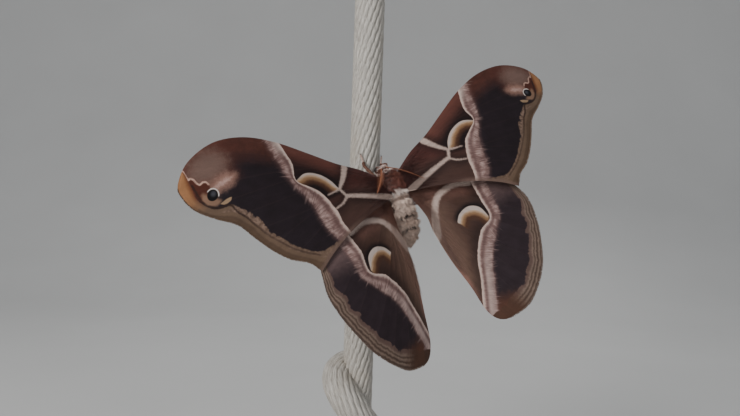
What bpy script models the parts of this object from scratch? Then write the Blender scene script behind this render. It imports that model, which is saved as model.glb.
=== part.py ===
"""A silkmoth (Samia) at rest on a short cut length of rope, held upright by a plain display stand.

Units are millimetres in the named values and metres in the scene.  +Z is up, the moth's back faces -Y,
and the origin is the middle of the stand's underside.  The moth is modelled in its own frame (X to its
right, Y forwards, Z out of its back) and is turned into its resting pose by one empty.
"""
import math

import bmesh
import bpy
from mathutils import Matrix, Vector

MM = 0.001
GAP = 0.3                      # clearance between neighbouring solids

# Stand and perch, measured from the floor up.
BASE_RADIUS = 52.0
BASE_HEIGHT = 7.0
BASE_EDGE = 1.2                # rounding of the base's rim
ROD_RADIUS = 2.0
FERRULE_RADIUS = 5.6
FERRULE_BOTTOM = 13.0
FERRULE_TOP = 20.0
ROPE_RADIUS = 4.9
ROPE_TOP = 194.0
# The rope's own turn round itself: degrees round from the front, height, and reach from the rope's axis.
KNOT_ROUTE = [(-170.0, 62.0, 4.5), (-130.0, 60.5, 5.6), (-95.0, 58.5, 6.3), (-66.0, 56.2, 6.9),
              (-44.0, 53.8, 7.1), (-14.0, 49.4, 7.2), (15.0, 44.4, 7.2), (45.0, 39.8, 7.1),
              (75.0, 36.3, 6.9), (105.0, 34.4, 6.5), (140.0, 34.0, 5.6), (170.0, 34.5, 4.5)]
KNOT_RADIUS = 5.2              # the turn is slacker, so a little fatter, than the rope it grips
KNOT_END_RADIUS = 3.2          # where it is drawn in under the rope

# Where the moth sits: the middle of its thorax from the rope's axis, and the turns of its body.
MOTH_PLACE = (9.25, -14.0, 122.0)
HEAD_LEAN = 26.5               # head leans to its left, seen from behind it
BACK_TILT = -9.3               # head closer to the rope than the tail
BACK_ROLL = 28.0               # back turned to the moth's right

# Body, in the moth's own frame.
THORAX_CENTRE = (0.0, -0.2, -1.0)
THORAX_SIZE = (4.6, 4.4, 4.1)
HEAD_CENTRE = (0.0, 5.9, -1.7)
HEAD_SIZE = (2.15, 1.75, 1.9)
EYE_CENTRE = (1.55, 6.35, -2.0)
EYE_RADIUS = 0.98
ABDOMEN_START = (0.0, -3.2, -1.0)
ABDOMEN_LENGTH = 17.4
ABDOMEN_DROOP = 20.0           # below the body's axis
ABDOMEN_RADIUS = 4.9
ABDOMEN_RINGS = 7

# Antennae: a flat feathered blade, swept out and back from the brow.
ANTENNA_ROOT = (0.75, 6.2, -0.2)
ANTENNA_HALF_WIDTH = 1.35
ANTENNA_HALF_THICKNESS = 0.32
ANTENNA_POSES = {"left": (-7.7, -8.2, 5.0), "right": (7.2, -9.0, 6.9)}
ANTENNA_BOW = 1.1              # how far the blade arches off its straight line
ANTENNA_ROLLS = {"left": 0.0, "right": -61.0}   # turn of the blade about its own run, in degrees

# Wings: outlines flat on the wing, X out from the body and Y forwards.
WING_THICKNESS = 0.6
WING_CELL = 7.5                # spacing of the cuts that let the plate bend
FOREWING_ROOT = (4.0, 1.5, 1.8)
FOREWING_EDGES = (
    [(4.5, 4.3), (9.7, 7.8), (16.9, 11.4), (25.3, 17.0), (33.9, 22.6), (43.0, 26.7), (52.3, 28.1),
     (60.4, 25.9), (64.4, 21.8), (64.9, 18.5), (62.9, 14.0), (58.9, 9.8), (54.0, 5.6), (50.9, 0.4),
     (47.8, -4.6), (44.2, -9.0), (40.2, -12.0), (37.6, -15.6)],
    [(37.6, -15.6), (32.0, -12.4), (24.0, -9.2), (14.0, -6.6), (3.6, -4.4)],
    [(3.6, -4.4), (4.5, 4.3)],
)
HINDWING_ROOT = (4.0, -4.0, 0.9)
HINDWING_EDGES = (
    [(3.6, -2.6), (14.0, -3.6), (24.0, -6.2), (32.0, -10.6), (36.7, -16.0), (39.2, -23.0),
     (38.2, -31.0), (35.6, -38.2), (32.3, -44.5), (27.3, -49.9), (21.5, -53.6), (13.4, -53.9),
     (9.3, -49.6), (8.0, -39.9), (6.2, -29.9), (5.3, -19.5), (5.6, -14.0), (4.5, -8.4), (3.6, -5.0)],
    [(3.6, -5.0), (3.6, -2.6)],
)
# Each wing's set: sweep, raise and twist in degrees, then how it bends, warps, cups and curls,
# as the factors of x*x, x*y, y*y and x*x*x, and how much its chord is stretched.
WING_POSES = {
    "forewing_left": (-2.0, 22.5, -11.4, 0.0041, -0.0070, 0.0002, 1.6e-5, 1.014),
    "forewing_right": (0.0, 23.4, -9.1, 0.0041, -0.0027, 0.0030, 2.8e-5, 0.986),
    "hindwing_left": (-1.7, 25.2, -2.1, 0.0049, 0.0026, 0.0036, 5.1e-5, 1.0),
    "hindwing_right": (3.4, 17.9, 2.5, 0.0026, 0.0029, 0.0007, 3.0e-5, 1.0),
}
TUCK_DEPTH = 1.4               # how far a hind wing dips under the fore wing
TUCK_WIDTH = 8.0
TUCK_SLOPE = -0.36             # run of the fore wing's hind edge

# Legs: hip in the moth's frame, then how far out the knee stands, then ankle and toe on the rope as
# (degrees round it from the front, height from the thorax).
LEG_RADII = (0.62, 0.55, 0.42, 0.33)
LEGS = {
    "leg_fore_left": ((-1.5, 3.1, -3.9), (-1.6, 2.6, 0.2), (-2.0, 6.9), (-13.0, 9.4)),
    "leg_fore_right": ((1.5, 3.1, -3.9), (2.0, 2.2, 0.0), (74.0, 6.4), (84.0, 9.2)),
    "leg_mid_left": ((-2.0, 0.6, -4.5), (-2.6, 0.2, 0.0), (-26.0, -1.0), (-48.0, 0.6)),
    "leg_mid_right": ((2.0, 0.6, -4.5), (2.4, 0.0, -0.4), (88.0, 3.4), (112.0, 5.0)),
    "leg_hind_left": ((-1.9, -2.2, -4.2), (-2.2, -1.6, -0.4), (-14.0, -9.0), (-26.0, -12.0)),
    "leg_hind_right": ((1.9, -2.2, -4.2), (2.0, -1.8, -0.6), (70.0, -7.4), (82.0, -10.6)),
}

# Colour, roughness, metallic.
FINISHES = {
    "walnut": ((0.10, 0.055, 0.03), 0.45, 0.0),
    "brass": ((0.72, 0.52, 0.24), 0.3, 1.0),
    "rope": ((0.62, 0.58, 0.52), 0.8, 0.0),
    "dark_fur": ((0.055, 0.022, 0.018), 0.9, 0.0),
    "pale_fur": ((0.42, 0.35, 0.29), 0.9, 0.0),
    "eye": ((0.012, 0.009, 0.008), 0.15, 0.0),
    "antenna": ((0.30, 0.12, 0.05), 0.8, 0.0),
    "forewing": ((0.06, 0.03, 0.025), 0.7, 0.0),
    "hindwing": ((0.07, 0.045, 0.035), 0.7, 0.0),
    "leg": ((0.16, 0.09, 0.06), 0.8, 0.0),
}


def clear_scene():
    for item in list(bpy.data.objects):
        bpy.data.objects.remove(item)


def new_collection(name, hidden=False):
    collection = bpy.data.collections.new(name)
    bpy.context.scene.collection.children.link(collection)
    collection.hide_render = hidden
    return collection


def finish(name):
    """The Principled material of one finish, made once."""
    if name in bpy.data.materials:
        return bpy.data.materials[name]
    colour, roughness, metallic = FINISHES[name]
    material = bpy.data.materials.new(name)
    material.use_nodes = True
    shader = material.node_tree.nodes["Principled BSDF"]
    shader.inputs["Base Color"].default_value = (*colour, 1.0)
    shader.inputs["Roughness"].default_value = roughness
    shader.inputs["Metallic"].default_value = metallic
    return material


def add_object(name, mesh, collection, finish_name=None, parent=None):
    item = bpy.data.objects.new(name, mesh)
    collection.objects.link(item)
    item.parent = parent
    if finish_name:
        mesh.materials.clear()
        mesh.materials.append(finish(finish_name))
        for polygon in mesh.polygons:
            polygon.use_smooth = True
        mesh.set_sharp_from_angle(angle=math.radians(40))
    return item


def mesh_of(item):
    """The evaluated mesh of a curve or modified object, welded, with the object removed."""
    depsgraph = bpy.context.evaluated_depsgraph_get()
    mesh = bpy.data.meshes.new_from_object(item.evaluated_get(depsgraph))
    bpy.data.objects.remove(item)
    shape = bmesh.new()
    shape.from_mesh(mesh)
    bmesh.ops.remove_doubles(shape, verts=shape.verts, dist=0.00001)
    bmesh.ops.recalc_face_normals(shape, faces=shape.faces)
    shape.to_mesh(mesh)
    shape.free()
    return mesh


def turned(name, profile, steps, collection, finish_name):
    """A turned piece from (radius, height) points, bottom middle to top middle."""
    mesh = bpy.data.meshes.new(name)
    points = [(radius * MM, 0.0, height * MM) for radius, height in reversed(profile)]
    edges = [(i, i + 1) for i in range(len(points) - 1)]
    mesh.from_pydata(points, edges, [])
    item = bpy.data.objects.new(name, mesh)
    collection.objects.link(item)
    screw = item.modifiers.new("turn", "SCREW")
    screw.steps = steps
    screw.render_steps = steps
    screw.use_merge_vertices = True
    screw.merge_threshold = 0.00001
    return add_object(name, mesh_of(item), collection, finish_name)


def tube_mesh(points, radii, bevel_resolution):
    """A closed tube through points in metres, with a radius in mm at each."""
    curve = bpy.data.curves.new("tube", "CURVE")
    curve.dimensions = "3D"
    curve.bevel_depth = MM
    curve.bevel_resolution = bevel_resolution
    curve.use_fill_caps = True
    spline = curve.splines.new("POLY")
    spline.points.add(len(points) - 1)
    for knot, point, radius in zip(spline.points, points, radii):
        knot.co = (*point, 1.0)
        knot.radius = radius
    item = bpy.data.objects.new("tube", curve)
    bpy.context.scene.collection.objects.link(item)
    bpy.context.view_layer.update()
    return mesh_of(item)


def ellipsoid_mesh(name, centre, size, segments=24, rings=14):
    shape = bmesh.new()
    bmesh.ops.create_uvsphere(shape, u_segments=segments, v_segments=rings, radius=MM)
    bmesh.ops.scale(shape, vec=size, verts=shape.verts)
    bmesh.ops.translate(shape, vec=[value * MM for value in centre], verts=shape.verts)
    mesh = bpy.data.meshes.new(name)
    shape.to_mesh(mesh)
    shape.free()
    return mesh


def smooth_line(points, steps=4):
    """A Catmull-Rom line through points, with the given steps between each two."""
    nodes = [Vector(point) for point in points]
    nodes.insert(0, 2 * nodes[0] - nodes[1])
    nodes.append(2 * nodes[-1] - nodes[-2])
    line = []
    for a, b, c, d in zip(nodes, nodes[1:], nodes[2:], nodes[3:]):
        for step in range(steps):
            t = step / steps
            line.append(0.5 * (2 * b + (c - a) * t + (2 * a - 5 * b + 4 * c - d) * t * t
                               + (3 * b - a - 3 * c + d) * t ** 3))
    line.append(nodes[-2])
    return line


def cut_away(item, cutters):
    """Cuts each cutter out of a piece, so that it meets its neighbour across the gap."""
    for cutter in cutters:
        cut = item.modifiers.new("clear_" + cutter.name, "BOOLEAN")
        cut.operation = "DIFFERENCE"
        cut.solver = "EXACT"
        cut.object = cutter


def add_cutter(name, mesh, collection, parent=None):
    cutter = add_object(name, mesh, collection, parent=parent)
    cutter.hide_render = True
    cutter.display_type = "WIRE"
    return cutter


def grown(size, by=GAP):
    return tuple(value + by for value in size)


# ---------------------------------------------------------------- stand and perch

def add_stand(parts):
    edge = [(BASE_RADIUS - BASE_EDGE * (1 - math.sin(a)), BASE_HEIGHT - BASE_EDGE * (1 - math.cos(a)))
            for a in (math.radians(step * 30.0) for step in range(3, -1, -1))]
    profile = [(0.0, 0.0), (BASE_RADIUS - 0.6, 0.0), (BASE_RADIUS, 0.6), *edge, (0.0, BASE_HEIGHT)]
    turned("stand_base", profile, 48, parts, "walnut")
    rod = [(0.0, BASE_HEIGHT + GAP), (ROD_RADIUS, BASE_HEIGHT + GAP),
           (ROD_RADIUS, FERRULE_BOTTOM - GAP), (0.0, FERRULE_BOTTOM - GAP)]
    turned("stand_rod", rod, 24, parts, "brass")
    ferrule = [(0.0, FERRULE_BOTTOM), (FERRULE_RADIUS - 1.6, FERRULE_BOTTOM),
               (FERRULE_RADIUS, FERRULE_BOTTOM + 1.6), (FERRULE_RADIUS, FERRULE_TOP), (0.0, FERRULE_TOP)]
    turned("stand_ferrule", ferrule, 32, parts, "brass")


def add_perch(parts, cutters):
    rope = [(0.0, FERRULE_TOP + GAP), (ROPE_RADIUS, FERRULE_TOP + GAP), (ROPE_RADIUS, ROPE_TOP - 0.8),
            (ROPE_RADIUS - 0.8, ROPE_TOP), (0.0, ROPE_TOP)]
    turned("perch_rope", rope, 24, parts, "rope")
    core = [(0.0, FERRULE_TOP), (ROPE_RADIUS + GAP, FERRULE_TOP), (ROPE_RADIUS + GAP, ROPE_TOP),
            (0.0, ROPE_TOP)]
    core_cutter = turned("rope_clearance", core, 24, cutters, "rope")
    core_cutter.hide_render = True
    core_cutter.display_type = "WIRE"
    knot = add_object("perch_knot", knot_mesh(), parts, "rope")
    cut_away(knot, [core_cutter])


def knot_mesh():
    """One slanting turn of the rope round itself, drawn in at both ends."""
    route = smooth_line(KNOT_ROUTE, 3)
    points = []
    radii = []
    for step, (degrees, height, reach) in enumerate(route):
        along = step / (len(route) - 1)
        angle = math.radians(degrees)
        points.append(Vector((math.sin(angle) * reach, -math.cos(angle) * reach, height)) * MM)
        swell = math.sqrt(min(1.0, 6 * along, 6 * (1 - along)))
        radii.append(KNOT_END_RADIUS + (KNOT_RADIUS - KNOT_END_RADIUS) * swell)
    return tube_mesh(points, radii, 3)


# ---------------------------------------------------------------- the moth's body

def add_moth_empty():
    """The empty that carries the moth: its matrix is the resting pose."""
    empty = bpy.data.objects.new("moth_pose", None)
    bpy.context.scene.collection.objects.link(empty)
    empty.matrix_world = (
        Matrix.Translation(Vector(MOTH_PLACE) * MM)
        @ Matrix.Rotation(math.radians(90.0), 4, "X")
        @ Matrix.Rotation(math.radians(HEAD_LEAN), 4, "Z")
        @ Matrix.Rotation(math.radians(BACK_TILT), 4, "X")
        @ Matrix.Rotation(math.radians(BACK_ROLL), 4, "Y"))
    return empty


def mirrored(point, side):
    return (point[0] * side, point[1], point[2])


def add_body(parts, moth, thorax_cutter, cutters):
    add_object("thorax", ellipsoid_mesh("thorax", THORAX_CENTRE, THORAX_SIZE), parts, "dark_fur", moth)
    head = add_object("head", ellipsoid_mesh("head", HEAD_CENTRE, HEAD_SIZE), parts, "dark_fur", moth)
    sockets = [thorax_cutter]
    for side, name in ((-1, "left"), (1, "right")):
        centre = mirrored(EYE_CENTRE, side)
        size = (EYE_RADIUS,) * 3
        add_object("eye_" + name, ellipsoid_mesh("eye", centre, size, 16, 10), parts, "eye", moth)
        socket = ellipsoid_mesh("socket", centre, grown(size), 16, 10)
        sockets.append(add_cutter("socket_" + name, socket, cutters, moth))
    cut_away(head, sockets)
    add_abdomen(parts, moth, thorax_cutter)


def add_abdomen(parts, moth, thorax_cutter):
    """A plump ringed body that tapers to the tail and droops a little below the body's axis."""
    points = []
    radii = []
    steps = ABDOMEN_RINGS * 3
    place = Vector(ABDOMEN_START)
    for step in range(steps + 1):
        along = step / steps
        droop = math.radians(ABDOMEN_DROOP * min(1.0, 0.4 + along))
        points.append(place * MM)
        round_end = math.sqrt(max(0.0, 1 - max(0.0, (along - 0.55) / 0.47) ** 2.2))
        front = 0.76 + 0.24 * min(1.0, along / 0.4)
        ring = 1 - 0.035 * math.cos(2 * math.pi * along * ABDOMEN_RINGS)
        radii.append(max(0.5, ABDOMEN_RADIUS * round_end * front * ring))
        place = place + Vector((0.0, -math.cos(droop), -math.sin(droop))) * ABDOMEN_LENGTH / steps
    abdomen = add_object("abdomen", tube_mesh(points, radii, 4), parts, "pale_fur", moth)
    cut_away(abdomen, [thorax_cutter])


def add_antenna(name, tip, parts, moth, head_cutter):
    """A flat blade from the brow to its tip, arched away from the body."""
    side = -1 if name == "left" else 1
    root = Vector(mirrored(ANTENNA_ROOT, side))
    run = Vector(tip)
    up = run.cross(Vector((0.0, 0.0, 1.0))).cross(run).normalized()
    bow = up * ANTENNA_BOW
    across = Matrix.Rotation(math.radians(ANTENNA_ROLLS[name]), 3, run.normalized()) @ up
    points = []
    radii = []
    steps = 14
    for step in range(steps + 1):
        along = step / steps
        points.append((root + run * along + bow * math.sin(math.pi * along)) * MM)
        radii.append(max(0.22, math.sin(math.pi * (0.06 + 0.9 * along) ** 0.72)) * ANTENNA_HALF_WIDTH)
    mesh = tube_mesh(points, radii, 2)
    flatten_tube(mesh, points, across, radii)
    antenna = add_object("antenna_" + name, mesh, parts, "antenna", moth)
    cut_away(antenna, [head_cutter])


def flatten_tube(mesh, points, across, radii):
    """Presses a round tube flat along one direction, keeping the blade's thickness."""
    for vertex in mesh.vertices:
        nearest = min(range(len(points)), key=lambda i: (points[i] - vertex.co).length)
        offset = (vertex.co - points[nearest]).dot(across)
        flat = offset * ANTENNA_HALF_THICKNESS / radii[nearest]
        vertex.co += across * (flat - offset)


# ---------------------------------------------------------------- wings

def wing_tuck(x, y, root):
    """How far a hind wing's front edge dips, to pass under the fore wing."""
    edge = root[1] + (x - root[0]) * TUCK_SLOPE
    rise = min(1.0, max(0.0, (y - edge + 6.0) / TUCK_WIDTH))
    return TUCK_DEPTH * rise * rise * (3 - 2 * rise) * min(1.0, max(0.0, (x - root[0]) / 8.0))


def wing_point(x, y, root, pose, side, hind):
    """Takes a point of the flat outline to its place on the bent, raised wing."""
    sweep, rise, twist, bend, warp, cup, curl, chord = pose
    out = x - root[0]
    fore = (y - root[1]) * chord
    up = -(bend * out * out + warp * out * fore + cup * fore * fore + curl * out ** 3)
    if hind:
        up -= wing_tuck(x, y, root)
    turn = (Matrix.Rotation(math.radians(sweep), 3, "Z") @ Matrix.Rotation(math.radians(-rise), 3, "Y")
            @ Matrix.Rotation(math.radians(twist), 3, "X"))
    place = turn @ Vector((out, fore, up)) + Vector(root)
    return Vector((place.x * side, place.y, place.z)) * MM


def flat_outline_mesh(edges):
    """The filled flat outline, from a 2D curve through all edges in turn."""
    outline = []
    for edge in edges:
        outline += smooth_line([(x, y, 0.0) for x, y in edge], 3 if len(edge) > 2 else 2)[:-1]
    curve = bpy.data.curves.new("outline", "CURVE")
    curve.dimensions = "2D"
    curve.fill_mode = "BOTH"
    spline = curve.splines.new("POLY")
    spline.points.add(len(outline) - 1)
    for knot, point in zip(spline.points, outline):
        knot.co = (point.x, point.y, 0.0, 1.0)
    spline.use_cyclic_u = True
    item = bpy.data.objects.new("outline", curve)
    bpy.context.scene.collection.objects.link(item)
    bpy.context.view_layer.update()
    return mesh_of(item)


def add_wing(name, edges, root, parts, moth, thorax_cutter):
    """A thin plate: the flat outline, cut into cells, bent to its pose and thickened."""
    side = -1 if name.endswith("left") else 1
    hind = name.startswith("hind")
    mesh = flat_outline_mesh(edges)
    shape = bmesh.new()
    shape.from_mesh(mesh)
    for axis in (0, 1):
        low = min(vertex.co[axis] for vertex in shape.verts)
        high = max(vertex.co[axis] for vertex in shape.verts)
        for cut in range(1, math.ceil((high - low) / WING_CELL)):
            point = [0.0, 0.0, 0.0]
            point[axis] = low + cut * WING_CELL
            normal = [0.0, 0.0, 0.0]
            normal[axis] = 1.0
            bmesh.ops.bisect_plane(shape, geom=shape.verts[:] + shape.edges[:] + shape.faces[:],
                                   plane_co=point, plane_no=normal)
    bmesh.ops.dissolve_limit(shape, angle_limit=0.001, verts=[], edges=[
        edge for edge in shape.edges if len(edge.link_faces) == 2 and not on_grid(edge)])
    bmesh.ops.triangulate(shape, faces=shape.faces)
    for vertex in shape.verts:
        vertex.co = wing_point(vertex.co.x, vertex.co.y, root, WING_POSES[name], side, hind)
    bmesh.ops.recalc_face_normals(shape, faces=shape.faces)
    shape.to_mesh(mesh)
    shape.free()
    wing = add_object(name, mesh, parts, "hindwing" if hind else "forewing", moth)
    thick = wing.modifiers.new("thickness", "SOLIDIFY")
    thick.thickness = WING_THICKNESS * MM
    thick.offset = 0.0
    cut_away(wing, [thorax_cutter])


def on_grid(edge):
    """True for an edge along one of the straight cuts."""
    a, b = (vertex.co for vertex in edge.verts)
    return abs(a.x - b.x) < 1e-6 or abs(a.y - b.y) < 1e-6


# ---------------------------------------------------------------- legs

def on_rope(degrees, height, clearance):
    """A world point beside the rope's surface."""
    angle = math.radians(degrees)
    reach = ROPE_RADIUS + clearance
    return Vector((math.sin(angle) * reach, -math.cos(angle) * reach, MOTH_PLACE[2] + height)) * MM


def add_leg(name, parts, moth, thorax_cutter):
    """Thigh, shin and foot in one bent tube from the hip to the rope."""
    hip, knee_out, ankle, toe = LEGS[name]
    start = moth.matrix_world @ (Vector(hip) * MM)
    ankle_point = on_rope(*ankle, GAP + LEG_RADII[2])
    toe_point = on_rope(*toe, GAP + LEG_RADII[3])
    middle_foot = on_rope((ankle[0] + toe[0]) / 2, (ankle[1] + toe[1]) / 2, GAP + LEG_RADII[3])
    push = moth.matrix_world.to_3x3() @ (Vector(knee_out) * MM)
    knee = start.lerp(ankle_point, 0.5) + push
    points = [start, start.lerp(knee, 0.5), knee, knee.lerp(ankle_point, 0.5), ankle_point,
              middle_foot, toe_point]
    thigh, shin, ankle_radius, foot = LEG_RADII
    radii = [thigh, thigh, shin, (shin + ankle_radius) / 2, ankle_radius, foot, foot]
    leg = add_object(name, tube_mesh(points, radii, 2), parts, "leg")
    cut_away(leg, [thorax_cutter])


def main():
    clear_scene()
    parts = new_collection("silkmoth_on_rope")
    cutters = new_collection("cutters", hidden=True)
    add_stand(parts)
    add_perch(parts, cutters)
    moth = add_moth_empty()
    bpy.context.view_layer.update()
    thorax_shape = ellipsoid_mesh("thorax_clearance", THORAX_CENTRE, grown(THORAX_SIZE))
    thorax_cutter = add_cutter("thorax_clearance", thorax_shape, cutters, moth)
    head_shape = ellipsoid_mesh("head_clearance", HEAD_CENTRE, grown(HEAD_SIZE))
    head_cutter = add_cutter("head_clearance", head_shape, cutters, moth)
    add_body(parts, moth, thorax_cutter, cutters)
    for name, tip in ANTENNA_POSES.items():
        add_antenna(name, tip, parts, moth, head_cutter)
    for name in WING_POSES:
        hind = name.startswith("hind")
        edges = HINDWING_EDGES if hind else FOREWING_EDGES
        add_wing(name, edges, HINDWING_ROOT if hind else FOREWING_ROOT, parts, moth, thorax_cutter)
    for name in LEGS:
        add_leg(name, parts, moth, thorax_cutter)


main()
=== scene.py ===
"""The looks of a life-size silkmoth (Samia) model on a short cut length of rope and a display stand.

Named values are in millimetres and the scene is in metres.  A wing is drawn flat first, X out from the
body and Y forwards, then bent and raised into its pose.  Its markings are curves on the flat wing: their
distances are stored on the mesh, and the material turns them into colour.
"""
import math

import bmesh
import bpy
import numpy as np
from mathutils import Matrix, Vector


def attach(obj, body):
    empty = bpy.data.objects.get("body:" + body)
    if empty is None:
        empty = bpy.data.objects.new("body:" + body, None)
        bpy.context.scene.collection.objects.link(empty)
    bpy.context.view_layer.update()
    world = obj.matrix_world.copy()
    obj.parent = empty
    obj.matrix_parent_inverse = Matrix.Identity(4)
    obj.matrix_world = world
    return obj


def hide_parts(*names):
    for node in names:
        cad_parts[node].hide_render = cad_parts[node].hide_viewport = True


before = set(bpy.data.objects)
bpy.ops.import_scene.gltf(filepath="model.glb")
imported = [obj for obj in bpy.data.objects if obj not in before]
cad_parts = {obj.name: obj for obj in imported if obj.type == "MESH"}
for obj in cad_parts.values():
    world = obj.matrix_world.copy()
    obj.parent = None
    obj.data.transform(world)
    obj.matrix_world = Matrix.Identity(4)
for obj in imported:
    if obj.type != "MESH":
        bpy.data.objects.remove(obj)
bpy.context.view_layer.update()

MM = 0.001
SEED = 20
SIDES = {"left": -1.0, "right": 1.0}
CURVE_STEPS = 6                # between two points that a curve is drawn through

# ------------------------------------------------ sizes and places shared with the CAD solids

GAP = 0.3
ROPE_RADIUS = 4.9
ROPE_FOOT = 20.3
ROPE_TOP = 194.0
# Turn round the rope in degrees, height, and distance from the rope's middle.
KNOT_ROUTE = [(-170.0, 62.0, 4.5), (-130.0, 60.5, 5.6), (-95.0, 58.5, 6.3), (-66.0, 56.2, 6.9),
              (-44.0, 53.8, 7.1), (-14.0, 49.4, 7.2), (15.0, 44.4, 7.2), (45.0, 39.8, 7.1),
              (75.0, 36.3, 6.9), (105.0, 34.4, 6.5), (140.0, 34.0, 5.6), (170.0, 34.5, 4.5)]
KNOT_RADIUS = 5.2
KNOT_END_RADIUS = 3.2
MOTH_PLACE = (9.25, -14.0, 122.0)
HEAD_LEAN = 26.5
BACK_TILT = -9.3
BACK_ROLL = 28.0
ABDOMEN_START = (0.0, -3.2, -1.0)
ABDOMEN_LENGTH = 17.4
ABDOMEN_DROOP = 20.0
ABDOMEN_RADIUS = 4.9
ABDOMEN_RINGS = 7
EYE_CENTRE = (1.55, 6.35, -2.0)
EYE_RADIUS = 0.98
ANTENNA_ROOT = (0.75, 6.2, -0.2)
ANTENNA_HALF_WIDTH = 1.35
ANTENNA_POSES = {"left": (-7.7, -8.2, 5.0), "right": (7.2, -9.0, 6.9)}     # from root to tip
ANTENNA_ROLLS = {"left": 0.0, "right": -61.0}                              # degrees
ANTENNA_BOW = 1.1
LEG_RADII = (0.62, 0.55, 0.42, 0.33)
# Hip, how far the knee stands out, then ankle and toe as a turn round the rope in degrees and a height.
LEGS = {
    "leg_fore_left": ((-1.5, 3.1, -3.9), (-1.6, 2.6, 0.2), (-2.0, 6.9), (-13.0, 9.4)),
    "leg_fore_right": ((1.5, 3.1, -3.9), (2.0, 2.2, 0.0), (74.0, 6.4), (84.0, 9.2)),
    "leg_mid_left": ((-2.0, 0.6, -4.5), (-2.6, 0.2, 0.0), (-26.0, -1.0), (-48.0, 0.6)),
    "leg_mid_right": ((2.0, 0.6, -4.5), (2.4, 0.0, -0.4), (88.0, 3.4), (112.0, 5.0)),
    "leg_hind_left": ((-1.9, -2.2, -4.2), (-2.2, -1.6, -0.4), (-14.0, -9.0), (-26.0, -12.0)),
    "leg_hind_right": ((1.9, -2.2, -4.2), (2.0, -1.8, -0.6), (70.0, -7.4), (82.0, -10.6)),
}

# Wing outlines on the flat: the first line runs along the front edge, round the tip and down the outer
# margin, and the number is the point where the front edge ends.
FOREWING = {
    "root": (4.0, 1.5, 1.8),
    "costa": [(2.2, 2.6), (4.5, 4.3), (9.7, 7.8), (16.9, 11.4), (25.3, 17.0), (33.9, 22.6), (43.0, 26.7),
              (52.3, 28.1), (60.4, 25.9), (64.4, 21.8)],
    "margin": [(64.4, 21.8), (64.9, 18.5), (62.9, 14.0), (58.9, 9.8), (54.0, 5.6), (50.9, 0.4),
               (47.8, -4.6), (44.2, -9.0), (40.2, -12.0), (37.6, -15.6)],
    "inner": [(37.6, -15.6), (32.0, -12.4), (24.0, -9.2), (14.0, -6.6), (3.6, -4.4), (2.0, -3.4)],
    "smooth_corner": "tip",
}
HINDWING = {
    "root": (4.0, -4.0, 0.9),
    "costa": [(2.0, -2.4), (4.4, -2.6), (14.0, -3.6), (24.0, -6.2), (32.0, -10.6), (36.7, -16.0)],
    "margin": [(36.7, -16.0), (39.2, -23.0), (38.2, -31.0), (35.6, -38.2), (32.3, -44.5), (27.3, -49.9),
               (21.5, -53.6), (13.4, -53.9)],
    "inner": [(13.4, -53.9), (9.3, -49.6), (8.0, -39.9), (6.2, -29.9), (5.3, -19.5), (5.6, -14.0),
              (4.5, -8.4), (3.4, -5.4), (2.0, -4.6)],
    "smooth_corner": "all",
}
# Sweep, raise and twist in degrees, then bend, warp, cup and curl, and the stretch of the chord.
WING_POSES = {
    "forewing_left": (-2.0, 22.5, -11.4, 0.0041, -0.0070, 0.0002, 1.6e-5, 1.014),
    "forewing_right": (0.0, 23.4, -9.1, 0.0041, -0.0027, 0.0030, 2.8e-5, 0.986),
    "hindwing_left": (-1.7, 25.2, -2.1, 0.0049, 0.0026, 0.0036, 5.1e-5, 1.0),
    "hindwing_right": (3.4, 17.9, 2.5, 0.0026, 0.0029, 0.0007, 3.0e-5, 1.0),
}
# A hind wing's front part dips under the fore wing: how deep, over what width, and how that line slopes.
TUCK_DEPTH = 1.4
TUCK_WIDTH = 8.0
TUCK_SLOPE = -0.36

# ------------------------------------------------ markings on the flat forewing

F_BAND_INNER = [(33.3, 22.2), (32.2, 15.4), (33.5, 10.6), (30.7, 7.6), (27.5, 4.3), (25.6, -1.7),
                (25.4, -6.3), (24.7, -9.5)]
F_BAND_OUTER = [(37.3, 24.0), (36.7, 20.4), (36.1, 16.1), (35.5, 11.9), (33.6, 7.5), (32.0, 3.7),
                (31.3, -1.3), (30.5, -6.3), (29.4, -9.4)]
# Pale strokes: line, half width at its start and at its end.
F_STROKES = [
    ([(14.9, 9.6), (17.6, 6.6), (21.1, 3.5)], 1.05, 0.42),
    ([(21.1, 3.5), (20.1, 0.9)], 0.38, 0.45),
    ([(20.1, 0.9), (13.1, -1.2), (4.1, -4.4)], 0.55, 0.95),
    ([(20.3, 0.5), (22.6, -0.9), (25.4, -1.5)], 0.32, 0.18),
    ([(21.1, 3.5), (23.4, 3.3), (25.8, 3.1)], 0.30, 0.10),
]
F_MOON = [(33.7, 10.3), (29.5, 11.4), (25.1, 9.6), (22.4, 6.7), (21.1, 3.5)]
F_MOON_WHITE = [(33.5, 10.2), (31.9, 10.5), (29.5, 10.7), (26.8, 9.8), (24.3, 7.7), (22.6, 5.2),
                (21.3, 3.6)]
F_MOON_GLOW = [(33.4, 9.5), (31.4, 6.9), (28.6, 4.2), (25.8, 2.9), (22.6, 3.4)]
F_RIM = [(63.8, 25.6), (62.4, 23.8), (61.9, 21.5), (61.6, 19.5), (61.4, 17.1), (60.9, 15.6), (59.8, 13.9),
         (58.2, 12.3), (56.4, 11.5), (54.7, 11.3), (53.2, 11.2), (51.6, 9.5), (49.4, 7.1), (47.5, 4.3),
         (46.9, 1.7), (45.3, -1.0), (43.6, -3.3), (41.4, -6.1), (38.4, -8.9), (35.3, -10.6), (32.1, -10.5),
         (29.8, -10.2), (28.4, -11.0), (27.4, -14.0)]
F_RIM_LINE = [(61.3, 20.0), (60.7, 16.8), (59.8, 14.4), (58.2, 12.6), (56.4, 11.8), (54.7, 11.7),
              (53.4, 10.9), (52.6, 8.8), (50.8, 6.4), (49.5, 3.8), (47.8, 0.8), (45.0, -3.2), (41.0, -7.8),
              (36.3, -11.3)]
F_EYE = (57.2, 15.5)
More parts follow.
